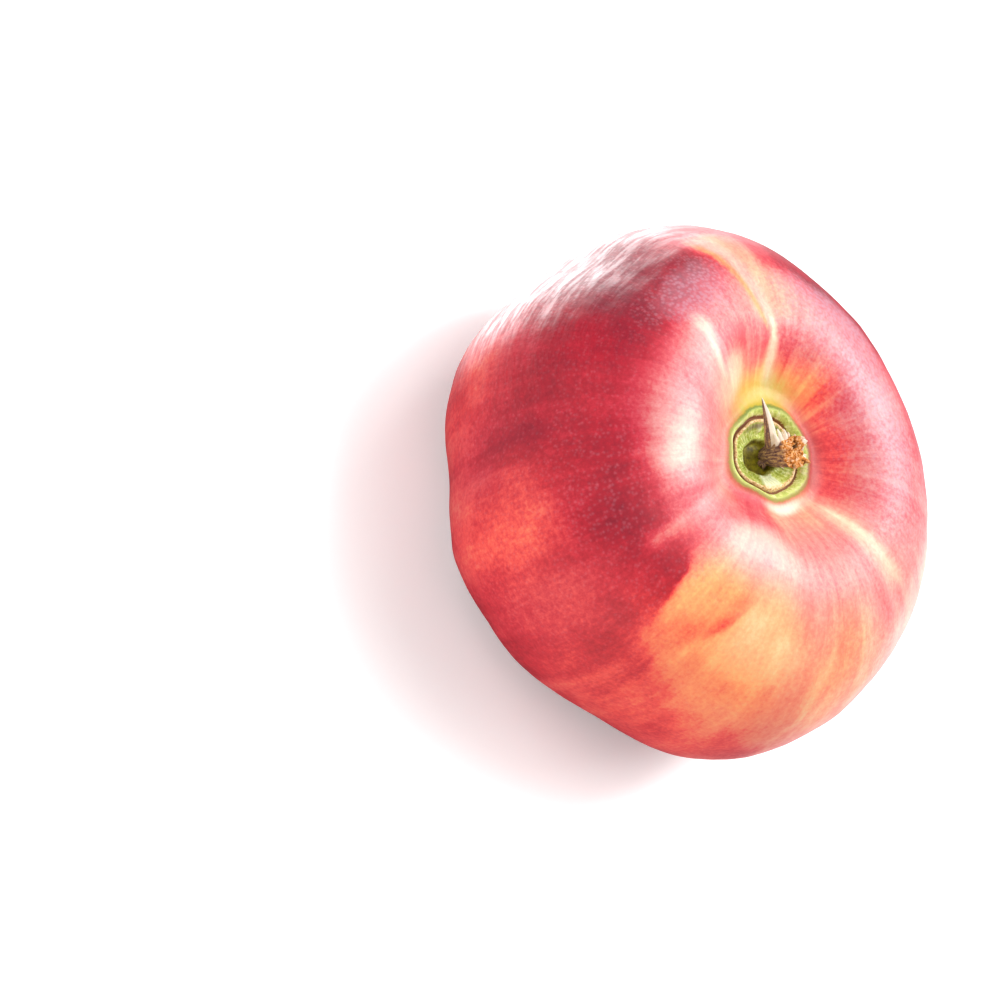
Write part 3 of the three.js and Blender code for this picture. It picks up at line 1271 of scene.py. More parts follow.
@dataclass(frozen=True)
class SkinFinish:
    """The fruit's skin: red over a yellow or cream ground, pale dots, a waxy sheen.

    Each noise is read at places in millimetres. A pair named for a ring of the scar holds the
    radii at which the ring is gone and full.
    """

    warm: Stops = (
        (0.00, (244, 216, 140)),
        (0.14, (248, 186, 106)),
        (0.28, (254, 142, 80)),
        (0.44, (244, 68, 54)),
        (0.52, (216, 32, 38)),
        (0.60, (188, 11, 28)),
        (0.76, (142, 3, 22)),
        (1.00, (80, 3, 20)),
    )
    cool: Stops = (
        (0.00, (232, 218, 198)),
        (0.14, (226, 182, 168)),
        (0.28, (218, 138, 138)),
        (0.44, (208, 68, 82)),
        (0.52, (198, 36, 60)),
        (0.60, (178, 12, 42)),
        (0.76, (136, 5, 38)),
        (1.00, (78, 6, 30)),
    )
    haze: Colour = (200, 145, 160)
    olive: Colour = (150, 140, 50)
    cork: Colour = (96, 62, 34)
    collar: Stops = ((0.34, (158, 170, 66)), (0.48, (198, 208, 104)), (0.62, (232, 232, 168)))
    collar_edge: Stops = ((0.0, (112, 130, 20)), (0.5, (156, 150, 60)), (1.0, (150, 86, 44)))
    stain: Stops = ((0.0, (190, 168, 8)), (0.5, (176, 116, 56)), (1.0, (124, 34, 8)))
    # the brown rim of the scar, partly painted shade where it is widened on one side
    groove: Colour = (124, 66, 28)
    # painted shade: the lip's shadow, inside it
    shade: Colour = (110, 84, 66)
    lip: Stops = ((0.36, (160, 104, 58)), (0.46, (226, 180, 116)), (0.62, (246, 222, 176)))
    bowl: Stops = ((0.34, (132, 144, 30)), (0.48, (184, 194, 78)), (0.62, (228, 232, 160)))
    pit: Stops = ((0.34, (72, 58, 6)), (0.50, (128, 116, 6)), (0.64, (172, 160, 30)))
    flap: Colour = (228, 234, 190)
    streaks: Noise = Noise(0.7, 3.0, 0.6)
    grain: Noise = Noise(0.55, 3.0, 0.65)
    mottle: Noise = Noise(1.7)
    blush_streaks: float = 0.12
    blush_grain: Pair = (0.30, 0.19)  # more with the bloom, everywhere
    blush_mottle: float = 0.07
    veil: Pair = (0.5, 0.85)  # bloom at which the haze starts to veil, growth
    dot_haze: Pair = (0.42, 0.02)  # more with the bloom, everywhere
    dot_gap: float = 0.55
    dot_noises: tuple[Noise, Noise] = (Noise(1.1), Noise(0.35, 1.0))
    dot_crowding: float = 0.35  # how much larger the bloom makes them
    dot_edge: Pair = (0.95, 0.35)
    olive_cover: Pair = (0.8, 0.62)  # more with the mottle, everywhere
    cork_edge: Pair = (0.30, 0.60)
    cork_ragged: float = 0.9  # how far the mottle moves the corky mark's edge
    cloud: Noise = Noise(0.8, 3.0, 0.6)
    grit: Noise = Noise(0.26, 3.0, 0.7)
    ragged_edge: Pair = (0.5, 0.35)  # how far cloud and grit move the rings' edges
    ragged_line: Pair = (0.2, 0.3)  # the same for the lip's and the groove's line
    stain_cover: Pair = (0.8, 0.6)  # more with the cloud, everywhere
    groove_cover: Pair = (0.6, 0.7)  # more with the grit, everywhere
    shade_cover: float = 0.45  # everywhere, and as much again as the grit
    flap_cover: Triple = (1.4, 1.2, 0.62)  # by paint, by grit, grit that adds nothing
    collar_rim: Pair = (6.40, 6.10)
    collar_face: Pair = (6.05, 5.7)
    bowl_ring: Pair = (4.45, 4.2)
    pit_ring: Pair = (2.55, 2.2)
    lip_radius: float = 4.62
    lip_edge: Pair = (0.34, 0.16)  # distance from the lip's line
    groove_radius: float = 5.02
    groove_edge: Pair = (1.3, 0.8)  # distance from the groove's line, in its widths
    swirl: Noise = Noise(0.8, 4.0, 0.65)
    swirl_edge: Pair = (0.42, 0.62)
    swirl_cover: Pair = (0.9, 0.1)  # more with the swirl, everywhere in the glaze
    roughness: float = 0.52
    rough_noises: Pair = (0.16, 0.08)  # with the grain, with the mottle
    rough_scar: Triple = (7.6, 5.6, 0.25)  # the two radii, how much more
    coat: float = 0.08
    coat_roughness: float = 0.32
    glow: float = 0.08  # share of the light that passes through the flesh
    glow_depth: float = 2.5 * MM
    glow_reach: Triple = (1.0, 0.35, 0.2)  # of red, green and blue
    sheen_level: float = 0.75
    peel: tuple[Noise, float] = (Noise(1.1, 2.0, 0.45), 0.030)  # noise, height in mm
    fine_streaks: tuple[Noise, float] = (Noise(0.5), 0.010)
    scar_fibres: tuple[Noise, float] = (Noise(0.3, 3.0, 0.7), 0.05)
    fibre_ring: Pair = (6.4, 5.8)
    dot_depth: float = 0.010

    def material(self) -> bpy.types.Material:
        """Builds the skin's material.

        Returns:
            The finished material.
        """
        nodes = Nodes.of_material("nectarine_skin")
        place, flow = nodes.place(), nodes.direction(Layer.FLOW)
        grain = nodes.noise(place, self.grain) - 0.5
        mottle = nodes.noise(place, self.mottle) - 0.5
        scar, bloom = nodes.paint(Layer.SCAR), nodes.paint(Layer.HAZE)
        dots = self.dot_mask(nodes, place, bloom)
        blush = nodes.paint(Layer.BLUSH) + (nodes.noise(flow, self.streaks) - 0.5) * self.blush_streaks
        more, plain = self.blush_grain
        blush = blush + grain * (bloom * more + plain) + mottle * self.blush_mottle
        skin = self.skin_colours(nodes, blush, bloom, dots, mottle)
        by_grain, by_mottle = self.rough_noises
        start, full, rougher = self.rough_scar
        rough = grain * by_grain + mottle * by_mottle + self.roughness + scar.ease(start, full) * rougher
        swirl = nodes.noise(nodes.direction(Layer.SWIRL), self.swirl).ease(*self.swirl_edge)
        more, plain = self.swirl_cover
        wax = nodes.paint(Layer.GLAZE) * (swirl * more + plain) + self.coat
        return nodes.surface(
            {
                "Base Color": self.scar_colours(nodes, skin, scar, place),
                "Roughness": rough.clamped(),
                "Normal": self.bumps(nodes, place, flow, dots, scar),
                "Subsurface Weight": self.glow,
                "Subsurface Radius": self.glow_reach,
                "Subsurface Scale": self.glow_depth,
                "Specular IOR Level": self.sheen_level,
                "Coat Weight": wax.clamped(),
                "Coat Roughness": self.coat_roughness,
            }
        )

    def skin_colours(self, nodes: Nodes, blush: Expr, bloom: Expr, dots: Expr, mottle: Expr) -> Expr:
        """The colour of the skin outside the scar.

        Reds come from the blush, between the warm and the cool ramp. The bloom veils them and
        its dots show on them; the blossom hollow turns olive, with a corky mark in its middle.

        Args:
            nodes: The material's nodes.
            blush: How dense the red is.
            bloom: How thick the bloom is.
            dots: 1 on the pale dots.
            mottle: A coarse noise round 0.

        Returns:
            The colour.
        """
        coolness = nodes.paint(Layer.COOLNESS)
        skin = nodes.mix(nodes.ramp(blush, self.warm), nodes.ramp(blush, self.cool), coolness)
        start, growth = self.veil
        more, plain = self.dot_haze
        haze = (bloom - start).most(0.0) * growth + dots * (bloom * more + plain)
        skin = nodes.mix(skin, self.haze, haze.clamped())
        olive = nodes.paint(Layer.OLIVE)
        more, plain = self.olive_cover
        skin = nodes.mix(skin, self.olive, olive.clamped() * (mottle * more + plain).clamped())
        cork = (olive - 1.0 + mottle * self.cork_ragged).ease(*self.cork_edge)
        return nodes.mix(skin, self.cork, cork)

    def dot_mask(self, nodes: Nodes, place: Expr, bloom: Expr) -> Expr:
        """The pale dots of the skin, soft and uneven, which crowd where the bloom is thick.

        Args:
            nodes: The material's nodes.
            place: Object coordinates in mm.
            bloom: How thick the bloom is.

        Returns:
            1 on the dots.
        """
        coarse, fine = (nodes.noise(place, noise) for noise in self.dot_noises)
        uneven = coarse * 0.5 + fine * 0.5
        return (nodes.cells(place, self.dot_gap) + uneven - bloom * self.dot_crowding).ease(*self.dot_edge)

    def scar_colours(self, nodes: Nodes, skin: Expr, scar: Expr, place: Expr) -> Expr:
        """Lays the scar over the skin: stain, collar, tan lip, bowl, pit, flap, painted shade inside the lip,
        and the groove, widened as painted shade on one side.

        Args:
            nodes: The material's nodes.
            skin: The colour of the skin.
            scar: The radius in the scar.
            place: Object coordinates in mm.

        Returns:
            The colour.
        """
        cloud, grit = nodes.noise(place, self.cloud), nodes.noise(place, self.grit)
        hue, flap = nodes.paint(Layer.STAIN_HUE), nodes.paint(Layer.FLAP)
        edge, line = (
            scar + (cloud - 0.5) * by_cloud + (grit - 0.5) * by_grit
            for by_cloud, by_grit in (self.ragged_edge, self.ragged_line)
        )
        more, plain = self.stain_cover
        stain = (nodes.paint(Layer.STAIN) * (cloud * more + plain)).clamped()
        shade = (nodes.paint(Layer.SHADE) * (grit + self.shade_cover)).clamped()
        by_paint, by_grit, least = self.flap_cover
        torn = (flap * by_paint + (grit - least) * by_grit).clamped() * flap
        lip = abs(line - self.lip_radius).ease(*self.lip_edge)
        sunk = abs(line - self.groove_radius) / nodes.paint(Layer.GROOVE)
        more, plain = self.groove_cover
        groove = sunk.ease(*self.groove_edge) * (grit * more + plain).clamped()
        colour = nodes.mix(skin, nodes.ramp(hue, self.stain), stain)
        colour = nodes.mix(colour, nodes.ramp(hue, self.collar_edge), edge.ease(*self.collar_rim))
        collar = nodes.ramp(cloud * 0.6 + grit * 0.4, self.collar)
        colour = nodes.mix(colour, collar, edge.ease(*self.collar_face))
        colour = nodes.mix(colour, nodes.ramp(grit, self.lip), lip)
        bowl = nodes.ramp(cloud * 0.5 + grit * 0.5, self.bowl)
        colour = nodes.mix(colour, bowl, edge.ease(*self.bowl_ring))
        pit = nodes.ramp(cloud * 0.7 + grit * 0.3, self.pit)
        colour = nodes.mix(colour, pit, edge.ease(*self.pit_ring))
        for tone, cover in ((self.flap, torn), (self.shade, shade), (self.groove, groove)):
            colour = nodes.mix(colour, tone, cover)
        return colour

    def bumps(self, nodes: Nodes, place: Expr, flow: Expr, dots: Expr, scar: Expr) -> Expr:
        """The finest relief: orange peel, fine streaks, sunk dots and the scar's fibres.

        Args:
            nodes: The material's nodes.
            place: Object coordinates in mm.
            flow: Places squeezed along the arc.
            dots: 1 on the pale dots.
            scar: The radius in the scar.

        Returns:
            The bent normal.
        """
        (peel, high), (fine, low), (fibres, tall) = self.peel, self.fine_streaks, self.scar_fibres
        height = nodes.noise(place, peel) * high + nodes.noise(flow, fine) * low - dots * self.dot_depth
        return nodes.bump(height + nodes.noise(place, fibres) * tall * scar.ease(*self.fibre_ring))


class StalkLayer(Enum):
    """Values painted on the stalk's points."""

    TORN = "torn"  # 1 on the broken end, 0 on the bark
    HOLLOW = "hollow"  # 1 in the pits of the broken end
    PALE = "pale"  # 1 on cream fibre
    FLOW = "flow"  # place with its length along the stalk squeezed


@dataclass(frozen=True)
class DryStalkFinish:
    """Dry, torn stalk: grey-brown bark, an orange-brown broken end and cream fibres."""

    bark: Stops = (
        (0.34, (66, 46, 56)),
        (0.48, (122, 92, 88)),
        (0.58, (190, 150, 104)),
        (0.68, (222, 196, 160)),
    )
    torn: Stops = (
        (0.34, (104, 50, 14)),
        (0.44, (202, 120, 48)),
        (0.53, (238, 172, 96)),
        (0.64, (252, 234, 204)),
    )
    fibre: Colour = (246, 234, 214)
    hollow: Colour = (52, 20, 10)
    hollow_depth: float = 0.85  # how much of the pits' colour covers the rest
    lines: Noise = Noise(0.22, 3.0, 0.6)
    grit: Noise = Noise(0.28, 3.0, 0.65)
    pale_edge: Pair = (0.25, 0.6)
    roughness: Pair = (0.3, 0.62)  # more with the grit, everywhere
    sheen_level: float = 0.3
    relief: float = 0.06  # height of the lines and of the grit, in mm

    def material(self) -> bpy.types.Material:
        """Builds the stalk's material from its painted values.

        Returns:
            The finished material.
        """
        nodes = Nodes.of_material("dry_stalk")
        lines = nodes.noise(nodes.direction(StalkLayer.FLOW), self.lines)
        grit = nodes.noise(nodes.place(), self.grit)
        bark = nodes.ramp(lines * 0.7 + grit * 0.3, self.bark)
        torn = nodes.ramp(grit * 0.75 + lines * 0.25, self.torn)
        colour = nodes.mix(bark, torn, nodes.paint(StalkLayer.TORN))
        colour = nodes.mix(colour, self.hollow, nodes.paint(StalkLayer.HOLLOW) * self.hollow_depth)
        pale = (nodes.paint(StalkLayer.PALE) + (grit - 0.5) * 0.5).ease(*self.pale_edge)
        more, plain = self.roughness
        return nodes.surface(
            {
                "Base Color": nodes.mix(colour, self.fibre, pale),
                "Roughness": (grit * more + plain).clamped(),
                "Normal": nodes.bump(lines * self.relief + grit * self.relief),
                "Specular IOR Level": self.sheen_level,
            }
        )


@dataclass(frozen=True)
class FloorFinish:
    """A plain pale studio floor with the faintest cloudiness."""

    light: Colour = (250, 250, 250)
    dull: Colour = (246, 246, 246)
    cloud: Noise = Noise(60.0)
    roughness: float = 0.55
    sheen_level: float = 0.2
    glow: float = 0.22

    def material(self) -> bpy.types.Material:
        """Builds the floor's material.

        Returns:
            The finished material.
        """
        nodes = Nodes.of_material("pale_floor")
        return nodes.surface(
            {
                "Base Color": nodes.mix(self.dull, self.light, nodes.noise(nodes.place(), self.cloud)),
                "Roughness": self.roughness,
                "Specular IOR Level": self.sheen_level,
                "Emission Color": (1.0, 1.0, 1.0, 1.0),
                "Emission Strength": self.glow,
            }
        )


@dataclass(frozen=True)
class WallFinish:
    """A studio wall that shines evenly."""

    light: Colour = (250, 250, 250)
    glow: float = 1.0

    def material(self) -> bpy.types.Material:
        """Builds the wall's material.

        Returns:
            The finished material.
        """
        nodes = Nodes.of_material("pale_wall")
        values = {"Color": linear(self.light), "Strength": self.glow}
        return nodes.close(nodes.node("ShaderNodeEmission", None, values))


# ---- The pieces ----------------------------------------------------------------------------


@dataclass
class NectarineFruit:
    """The whole fruit, skin outwards."""

    shape: FruitShape = field(default_factory=FruitShape)
    complexion: Complexion = field(default_factory=Complexion)
    relief: SkinRelief = field(default_factory=SkinRelief)
    finish: SkinFinish = field(default_factory=SkinFinish)
    axis: Array = field(init=False)  # where the middle of the widest level stands, in mm

    def build(self) -> bpy.types.Object:
        """Builds the skin's mesh with its painted values and stands it in the frame.

        Returns:
            The piece that replaces the frame's fruit.
        """
        points = self.shape.points()
        self.axis = self.shape.axis_place(points)
        paint = self.complexion.paint(self.shape, points)
        relief = self.relief.height(self.shape, points, paint)
        points = points + normals(points) * relief[..., None]
        points[..., 2] = np.maximum(points[..., 2], -self.shape.seat_drop)
        points = points + self.axis
        blossom_end, stem_end = (points[row].mean(axis=0) for row in (0, -1))
        piece = mesh_object("fruit_skin", [Surface(points, blossom_end, stem_end, paint)])
        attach(piece, "root")
        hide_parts("fruit")
        return piece

    def dress(self, piece: bpy.types.Object) -> None:
        """Gives the piece its skin."""
        piece.data.materials.append(self.finish.material())

    def scar_middle(self) -> Array:
        """The middle of the scar, on the plain cavity floor, in millimetres."""
        floor = self.shape.stem_half - self.shape.stem_cavity.depth
        return self.axis + np.array([0.0, 0.0, floor])


@dataclass(frozen=True)
class Fibre:
    """A thin torn fibre: a tapered limb from its foot over a bend to its tip.

    Places are in mm from the middle of the scar; width and thickness are full sizes at the foot.
    """

    foot: Triple
    bend: Triple
    tip: Triple
    width: float
    thickness: float


class Cream(Enum):
    """Which part of a fibre is cream."""

    ALL_OVER = "all over"
    # the splinter's cream side: partly pale fibre, partly painted highlight of its lit side
    ONE_SIDE = "one side"
    NOWHERE = "nowhere"


@dataclass
class TornStalk:
    """What is left of the stalk: a stub that widens to its torn end, a splinter and fibres."""

    foot: Triple = (0.3, 1.9, -1.5)
    top: Triple = (1.25, 1.8, 4.0)
    radii: tuple[float, ...] = (1.0, 1.4, 1.65, 1.75, 1.85, 1.95)
    side_rows: int = 40
    end_rows: int = 22
    columns: int = 120
    end_shares: Pair = (0.97, 0.06)  # first and last ring of the end, of the radius
    barrel: float = 1.6  # radius at which the bark's noise is read
    ridges: Triple = (0.10, 2.2, 0.8)  # share of the radius, fineness, squeeze
    ragged: float = 0.4
    pits: Pair = (0.75, 0.55)  # depth, size
    pit_edge: Pair = (0.05, 0.55)  # noise at which a pit starts and is deepest
    pit_place: Pair = (1.02, 0.85)  # shares of the radius where they start, are full
    spikes: Pair = (0.5, 0.3)  # height, size
    spike_shift: float = 9.0  # keeps the spikes from following the pits
    end_powers: tuple[int, int, int] = (8, 12, 20)  # how fast waves, spikes and knob fade below
    pale_side: Side = Side(90, 52, 3)  # where the rim of the end is cream
    pale_rim: Pair = (0.90, 0.24)  # its share of the radius, spread
    pale_from: Pair = (0.90, 0.99)  # shares of the length
    knob: tuple[float, float, float, float] = (-0.42, 1.36, 0.55, 0.3)  # x, y, height, width
    torn_from: Pair = (0.80, 0.95)  # shares of the length
    torn_ragged: float = 0.06  # how far the ridges move the torn end's start
    limb_rows: int = 28
    limb_columns: int = 24
    limb_end: float = 0.98  # share of its line at which the last ring lies
    limb_front: Triple = (0.0, -0.65, 0.76)  # where its broad side faces
    limb_taper: float = 0.75  # power of the way left
    limb_edges: Pair = (1.4, 1.2)  # powers of the cosine and the sine
    limb_rough: Triple = (0.12, 1.5, 3.0)  # share of the width, fineness, stretch
    limb_tip: float = 0.3  # how far the tip lies past the last ring, in steps of the rings
    limb_squeeze: Pair = (0.4, 1.2)  # of its grain, across its thickness and along
    cream: float = 0.9  # how cream a cream fibre is
    cream_side: Pair = (-0.35, -0.1)  # cosines where one side's cream starts, is full; that cream is partly painted highlight
    # cream on one side: partly pale fibre, partly painted highlight of its lit side
    splinter: Fibre = Fibre((-0.45, 1.45, 0.9), (-3.4, 0.75, 3.0), (-6.6, -0.4, 4.7), 1.9, 1.0)
    fibres: tuple[Fibre, ...] = (
        Fibre((-0.2, 2.2, 1.4), (-1.5, 2.6, 2.2), (-2.3, 2.2, 2.4), 0.55, 0.25),
        Fibre((-0.4, 1.9, 1.8), (-1.3, 2.0, 2.8), (-2.1, 1.5, 3.1), 0.7, 0.3),
        Fibre((-0.2, 1.4, 1.7), (-1.3, 1.6, 2.4), (-1.9, 0.8, 2.5), 1.0, 0.5),
        Fibre((-0.2, 1.8, 2.4), (-1.2, 1.9, 2.9), (-1.7, 1.5, 3.5), 0.95, 0.5),
        Fibre((0.0, 2.2, 2.8), (-0.9, 2.5, 3.3), (-1.4, 2.0, 4.0), 0.85, 0.45),
        Fibre((0.2, 2.6, 3.2), (-0.6, 3.0, 3.8), (-0.8, 2.6, 4.3), 0.7, 0.4),
        Fibre((0.1, 1.1, 2.2), (-1.2, 0.8, 3.0), (-2.2, 0.3, 3.2), 0.9, 0.45),
        Fibre((0.1, 1.3, 2.6), (-1.3, 1.3, 3.3), (-2.3, 1.0, 3.4), 0.9, 0.45),
        Fibre((0.1, 1.6, 3.0), (-1.1, 1.9, 3.6), (-2.0, 1.6, 3.9), 0.8, 0.4),
        Fibre((0.9, 0.6, 1.4), (1.9, 0.5, 1.9), (2.6, 0.9, 1.7), 0.6, 0.3),
        Fibre((1.3, 0.9, 1.9), (2.4, 1.0, 2.5), (2.9, 1.6, 2.5), 0.6, 0.3),
        Fibre((1.5, 1.6, 1.7), (2.6, 2.0, 2.1), (3.0, 2.6, 1.7), 0.5, 0.25),
    )
    scrap: Fibre = Fibre((0.7, 1.0, -1.6), (1.1, 0.8, -0.5), (1.5, 0.4, -1.2), 1.2, 0.9)
    finish: DryStalkFinish = field(default_factory=DryStalkFinish)

    def build(self, scar_middle: Array) -> bpy.types.Object:
        """Builds the stub, its splinter and its fibres as one piece.

        Args:
            scar_middle: The middle of the fruit's scar, in millimetres.

        Returns:
            The piece that replaces the frame's stub.
        """
        limbs = [self.stub(), self.limb(self.splinter, Cream.ONE_SIDE)]
        limbs += [self.limb(fibre, Cream.ALL_OVER) for fibre in self.fibres]
        limbs.append(self.limb(self.scrap, Cream.NOWHERE))
        for limb in limbs:
            limb.move(scar_middle)
        piece = mesh_object("torn_stalk", limbs)
        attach(piece, "root")
        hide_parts("stalk_stub")
        return piece

    def dress(self, piece: bpy.types.Object) -> None:
        """Gives the piece its dry bark and torn ends."""
        piece.data.materials.append(self.finish.material())

    def stub(self) -> Surface:
        """The stub: rings that lean from foot to top, closed by a torn, pitted end.

        Ridges of the bark follow a noise round a barrel. The end's height is three broad waves
        and small spikes, less the pits, plus the knob, all of which fade fast below the end.

        Returns:
            The stub, in mm from the middle of the scar.
        """
        azimuth = np.arange(self.columns) * 2.0 * math.pi / self.columns
        up = np.concatenate([np.linspace(0.0, 1.0, self.side_rows), np.ones(self.end_rows)])
        share = np.concatenate([np.ones(self.side_rows), np.linspace(*self.end_shares, self.end_rows)])
        azimuth, up, share = np.broadcast_arrays(azimuth, up[:, None], share[:, None])
        bark, holes = Grain(31), Grain(32)
        rise, fineness, squeeze = self.ridges
        ridge = bark.at(self.grain_place(azimuth, squeeze * up) * fineness, 2)
        radius = np.interp(up, np.linspace(0.0, 1.0, len(self.radii)), self.radii)
        radius = radius * share * (1.0 + rise * ridge)
        x, y = radius * np.cos(azimuth), radius * np.sin(azimuth)
        flat = np.stack([x, y, 0.0 * x], axis=-1)
        by_waves, by_spikes, by_knob = (up**power for power in self.end_powers)
        lift = self.ragged * np.sin(3.0 * azimuth + 1.0) * radius * by_waves
        height, size = self.spikes
        lift += height * np.maximum(holes.at(flat / size + self.spike_shift), 0.0) * by_spikes
        knob_x, knob_y, height, width = self.knob
        lift += height * bell(np.hypot(x - knob_x, y - knob_y), width) * by_knob
        depth, size = self.pits
        hole = ease(holes.at(flat / size, 2), *self.pit_edge) * ease(share, *self.pit_place)
        foot, top = np.array(self.foot), np.array(self.top)
        points = foot + (top - foot) * up[..., None] + np.stack([x, y, lift - depth * hole], axis=-1)
        middle, spread = self.pale_rim
        rim = bell(share - middle, spread) * ease(up, *self.pale_from)
        paint = {
            StalkLayer.TORN: ease(up + self.torn_ragged * ridge, *self.torn_from),
            StalkLayer.HOLLOW: hole,
            StalkLayer.PALE: self.pale_side.at(np.degrees(azimuth)) * rim,
            StalkLayer.FLOW: self.grain_place(azimuth, up),
        }
        return Surface(points, points[0].mean(axis=0), points[-1].mean(axis=0), paint)

    def grain_place(self, azimuth: Array, along: Array) -> Array:
        """Places on a barrel: azimuth in radians round it, and the way along it."""
        return np.stack([self.barrel * np.cos(azimuth), self.barrel * np.sin(azimuth), along], axis=-1)

    def limb(self, fibre: Fibre, cream: Cream) -> Surface:
        """A tapered limb with a pointed oval section, carried along a bent line.

        The line is a quadratic curve through foot and tip. The section narrows with a power of
        the way left, and its edges are drawn out by powers of the cosine and the sine.

        Args:
            fibre: Its places and sizes.
            cream: Which part of it is cream.

        Returns:
            The limb, in mm from the middle of the scar.
        """
        way = np.linspace(0.0, self.limb_end, self.limb_rows)[:, None, None]
        around = np.arange(self.limb_columns)[None, :, None] * 2.0 * math.pi / self.limb_columns
        way, around = np.broadcast_arrays(way, around)
        start, bend, end = (np.array(place) for place in (fibre.foot, fibre.bend, fibre.tip))
        line = (1.0 - way) ** 2 * start + 2.0 * way * (1.0 - way) * bend + way**2 * end
        heading = 2.0 * (1.0 - way) * (bend - start) + 2.0 * way * (end - bend)
        heading = heading / np.linalg.norm(heading, axis=-1, keepdims=True)
        side = np.cross(heading, np.array(self.limb_front))
        side = side / np.linalg.norm(side, axis=-1, keepdims=True)
        front = np.cross(side, heading)
        cosine, sine = np.cos(around), np.sin(around)
        amount, fineness, stretch = self.limb_rough
        rough = np.concatenate([cosine, sine, stretch * way], axis=-1) * fineness
        half = (1.0 - way) ** self.limb_taper * (1.0 + amount * Grain(41).at(rough)[..., None]) / 2.0
        by_cosine, by_sine = self.limb_edges
        wide = np.sign(cosine) * np.abs(cosine) ** by_cosine * fibre.width * half
        thick = np.sign(sine) * np.abs(sine) ** by_sine * fibre.thickness * half
        points = line + side * wide + front * thick
        zero = np.zeros(points.shape[:2])
        one_side = ease(cosine[..., 0], *self.cream_side)
        covers = {Cream.ALL_OVER: 1.0 + zero, Cream.ONE_SIDE: one_side, Cream.NOWHERE: zero}
        across, along = self.limb_squeeze
        paint = {
            StalkLayer.TORN: zero,
            StalkLayer.HOLLOW: zero,
            StalkLayer.PALE: self.cream * covers[cream],
            StalkLayer.FLOW: np.concatenate([fibre.width * cosine, across * sine, along * way], axis=-1),
        }
        tip = line[-1, 0] + self.limb_tip * (line[-1, 0] - line[-2, 0])
        return Surface(points, line[0, 0], tip, paint)


# ---- The studio ----------------------------------------------------------------------------


@dataclass(frozen=True)
class Softbox:
    """A large soft light that faces the fruit.

    Attributes:
        name: The light's name.
        towards: Direction from the fruit to the light.
        distance: How far away it is, in metres.
        size: Its width and height, in metres.
        power: Its power in watts.
        mirrored: Whether glossy surfaces show it.
    """

    name: str
    towards: Triple
    distance: float
    size: Pair
    power: float
    mirrored: bool = True

    def place(self, target: Vector) -> None:
        """Makes the light and turns it to the target.

        Args:
            target: What it faces, in metres.
        """
        light = bpy.data.lights.new(self.name, "AREA")
        light.shape = "RECTANGLE"
        light.size, light.size_y = self.size
        light.energy = self.power
        lamp = linked(self.name, light)
        towards = Vector(self.towards).normalized()
        lamp.location = target + towards * self.distance
        lamp.rotation_euler = towards.to_track_quat("Z", "Y").to_euler()
        lamp.visible_glossy = self.mirrored


@dataclass(frozen=True)
class Viewpoint:
    """Where the camera stands. It looks along +Y and down, and is turned about its own axis.

    Attributes:
        tilt: Angle between the line of sight and the fruit's axis, in degrees.
        roll: How far the fruit's axis rises above the picture's horizontal, in degrees.
        lens: Focal length in millimetres.
        sensor: Sensor width in millimetres.
        picture: Picture width in pixels.
        grain: Millimetres on the fruit's widest level that one pixel shows.
        target_place: Where the middle of the widest level stands in the picture, in pixels.
        clip: The nearest and farthest that it sees, in metres.
    """

    tilt: float = 40.7
    roll: float = 25.1
    lens: float = 100.0
    sensor: float = 36.0
    picture: float = 1000.0
    grain: float = 0.1274
    target_place: Pair = (684.4, 489.9)
    clip: Pair = (0.01, 20.0)

    def place(self, target: Vector) -> None:
        """Makes the scene's camera.

        Args:
            target: The middle of the fruit's widest level, in metres.
        """
        tilt, turned = math.radians(self.tilt), math.radians(90.0 - self.roll)
        back = Vector((0.0, -math.sin(tilt), math.cos(tilt)))
        level = Vector((1.0, 0.0, 0.0))
        rise = back.cross(level)
        right = math.cos(turned) * level + math.sin(turned) * rise
        up = -math.sin(turned) * level + math.cos(turned) * rise
        pixel = self.grain * MM
        middle = self.picture / 2.0
        beside = right * (self.target_place[0] - middle) + up * (middle - self.target_place[1])
        distance = self.lens / self.sensor * self.picture * pixel
        data = bpy.data.cameras.new("studio_camera")
        data.lens, data.sensor_width = self.lens, self.sensor
        data.clip_start, data.clip_end = self.clip
        camera = linked("studio_camera", data)
        turned_axes = Matrix((right, up, back)).transposed().to_4x4()
        camera.matrix_world = Matrix.Translation(target + back * distance - beside * pixel) @ turned_axes
        bpy.context.scene.camera = camera


@dataclass(frozen=True)
class Glow:
    """A soft bright part of the surrounding.

    Attributes:
        towards: Direction from the fruit to its middle.
        strength: How bright its middle is.
        falloff: Cosines of the angle from its middle where it is dark and full.
    """

    towards: Triple
    strength: float
    falloff: Pair

    def over(self, nodes: Nodes, direction: Expr) -> Expr:
        """How much the glow adds to the surrounding.

        It is a smooth step of the cosine between a direction and the glow's middle.

        Args:
            nodes: The world's nodes.
            direction: The direction that is looked in.

        Returns:
            The brightness in that direction.
        """
        values = {0: direction, 1: tuple(Vector(self.towards).normalized())}
        facing = nodes.node("ShaderNodeVectorMath", {"operation": "DOT_PRODUCT"}, values, "Value")
        return facing.ease(*self.falloff) * self.strength


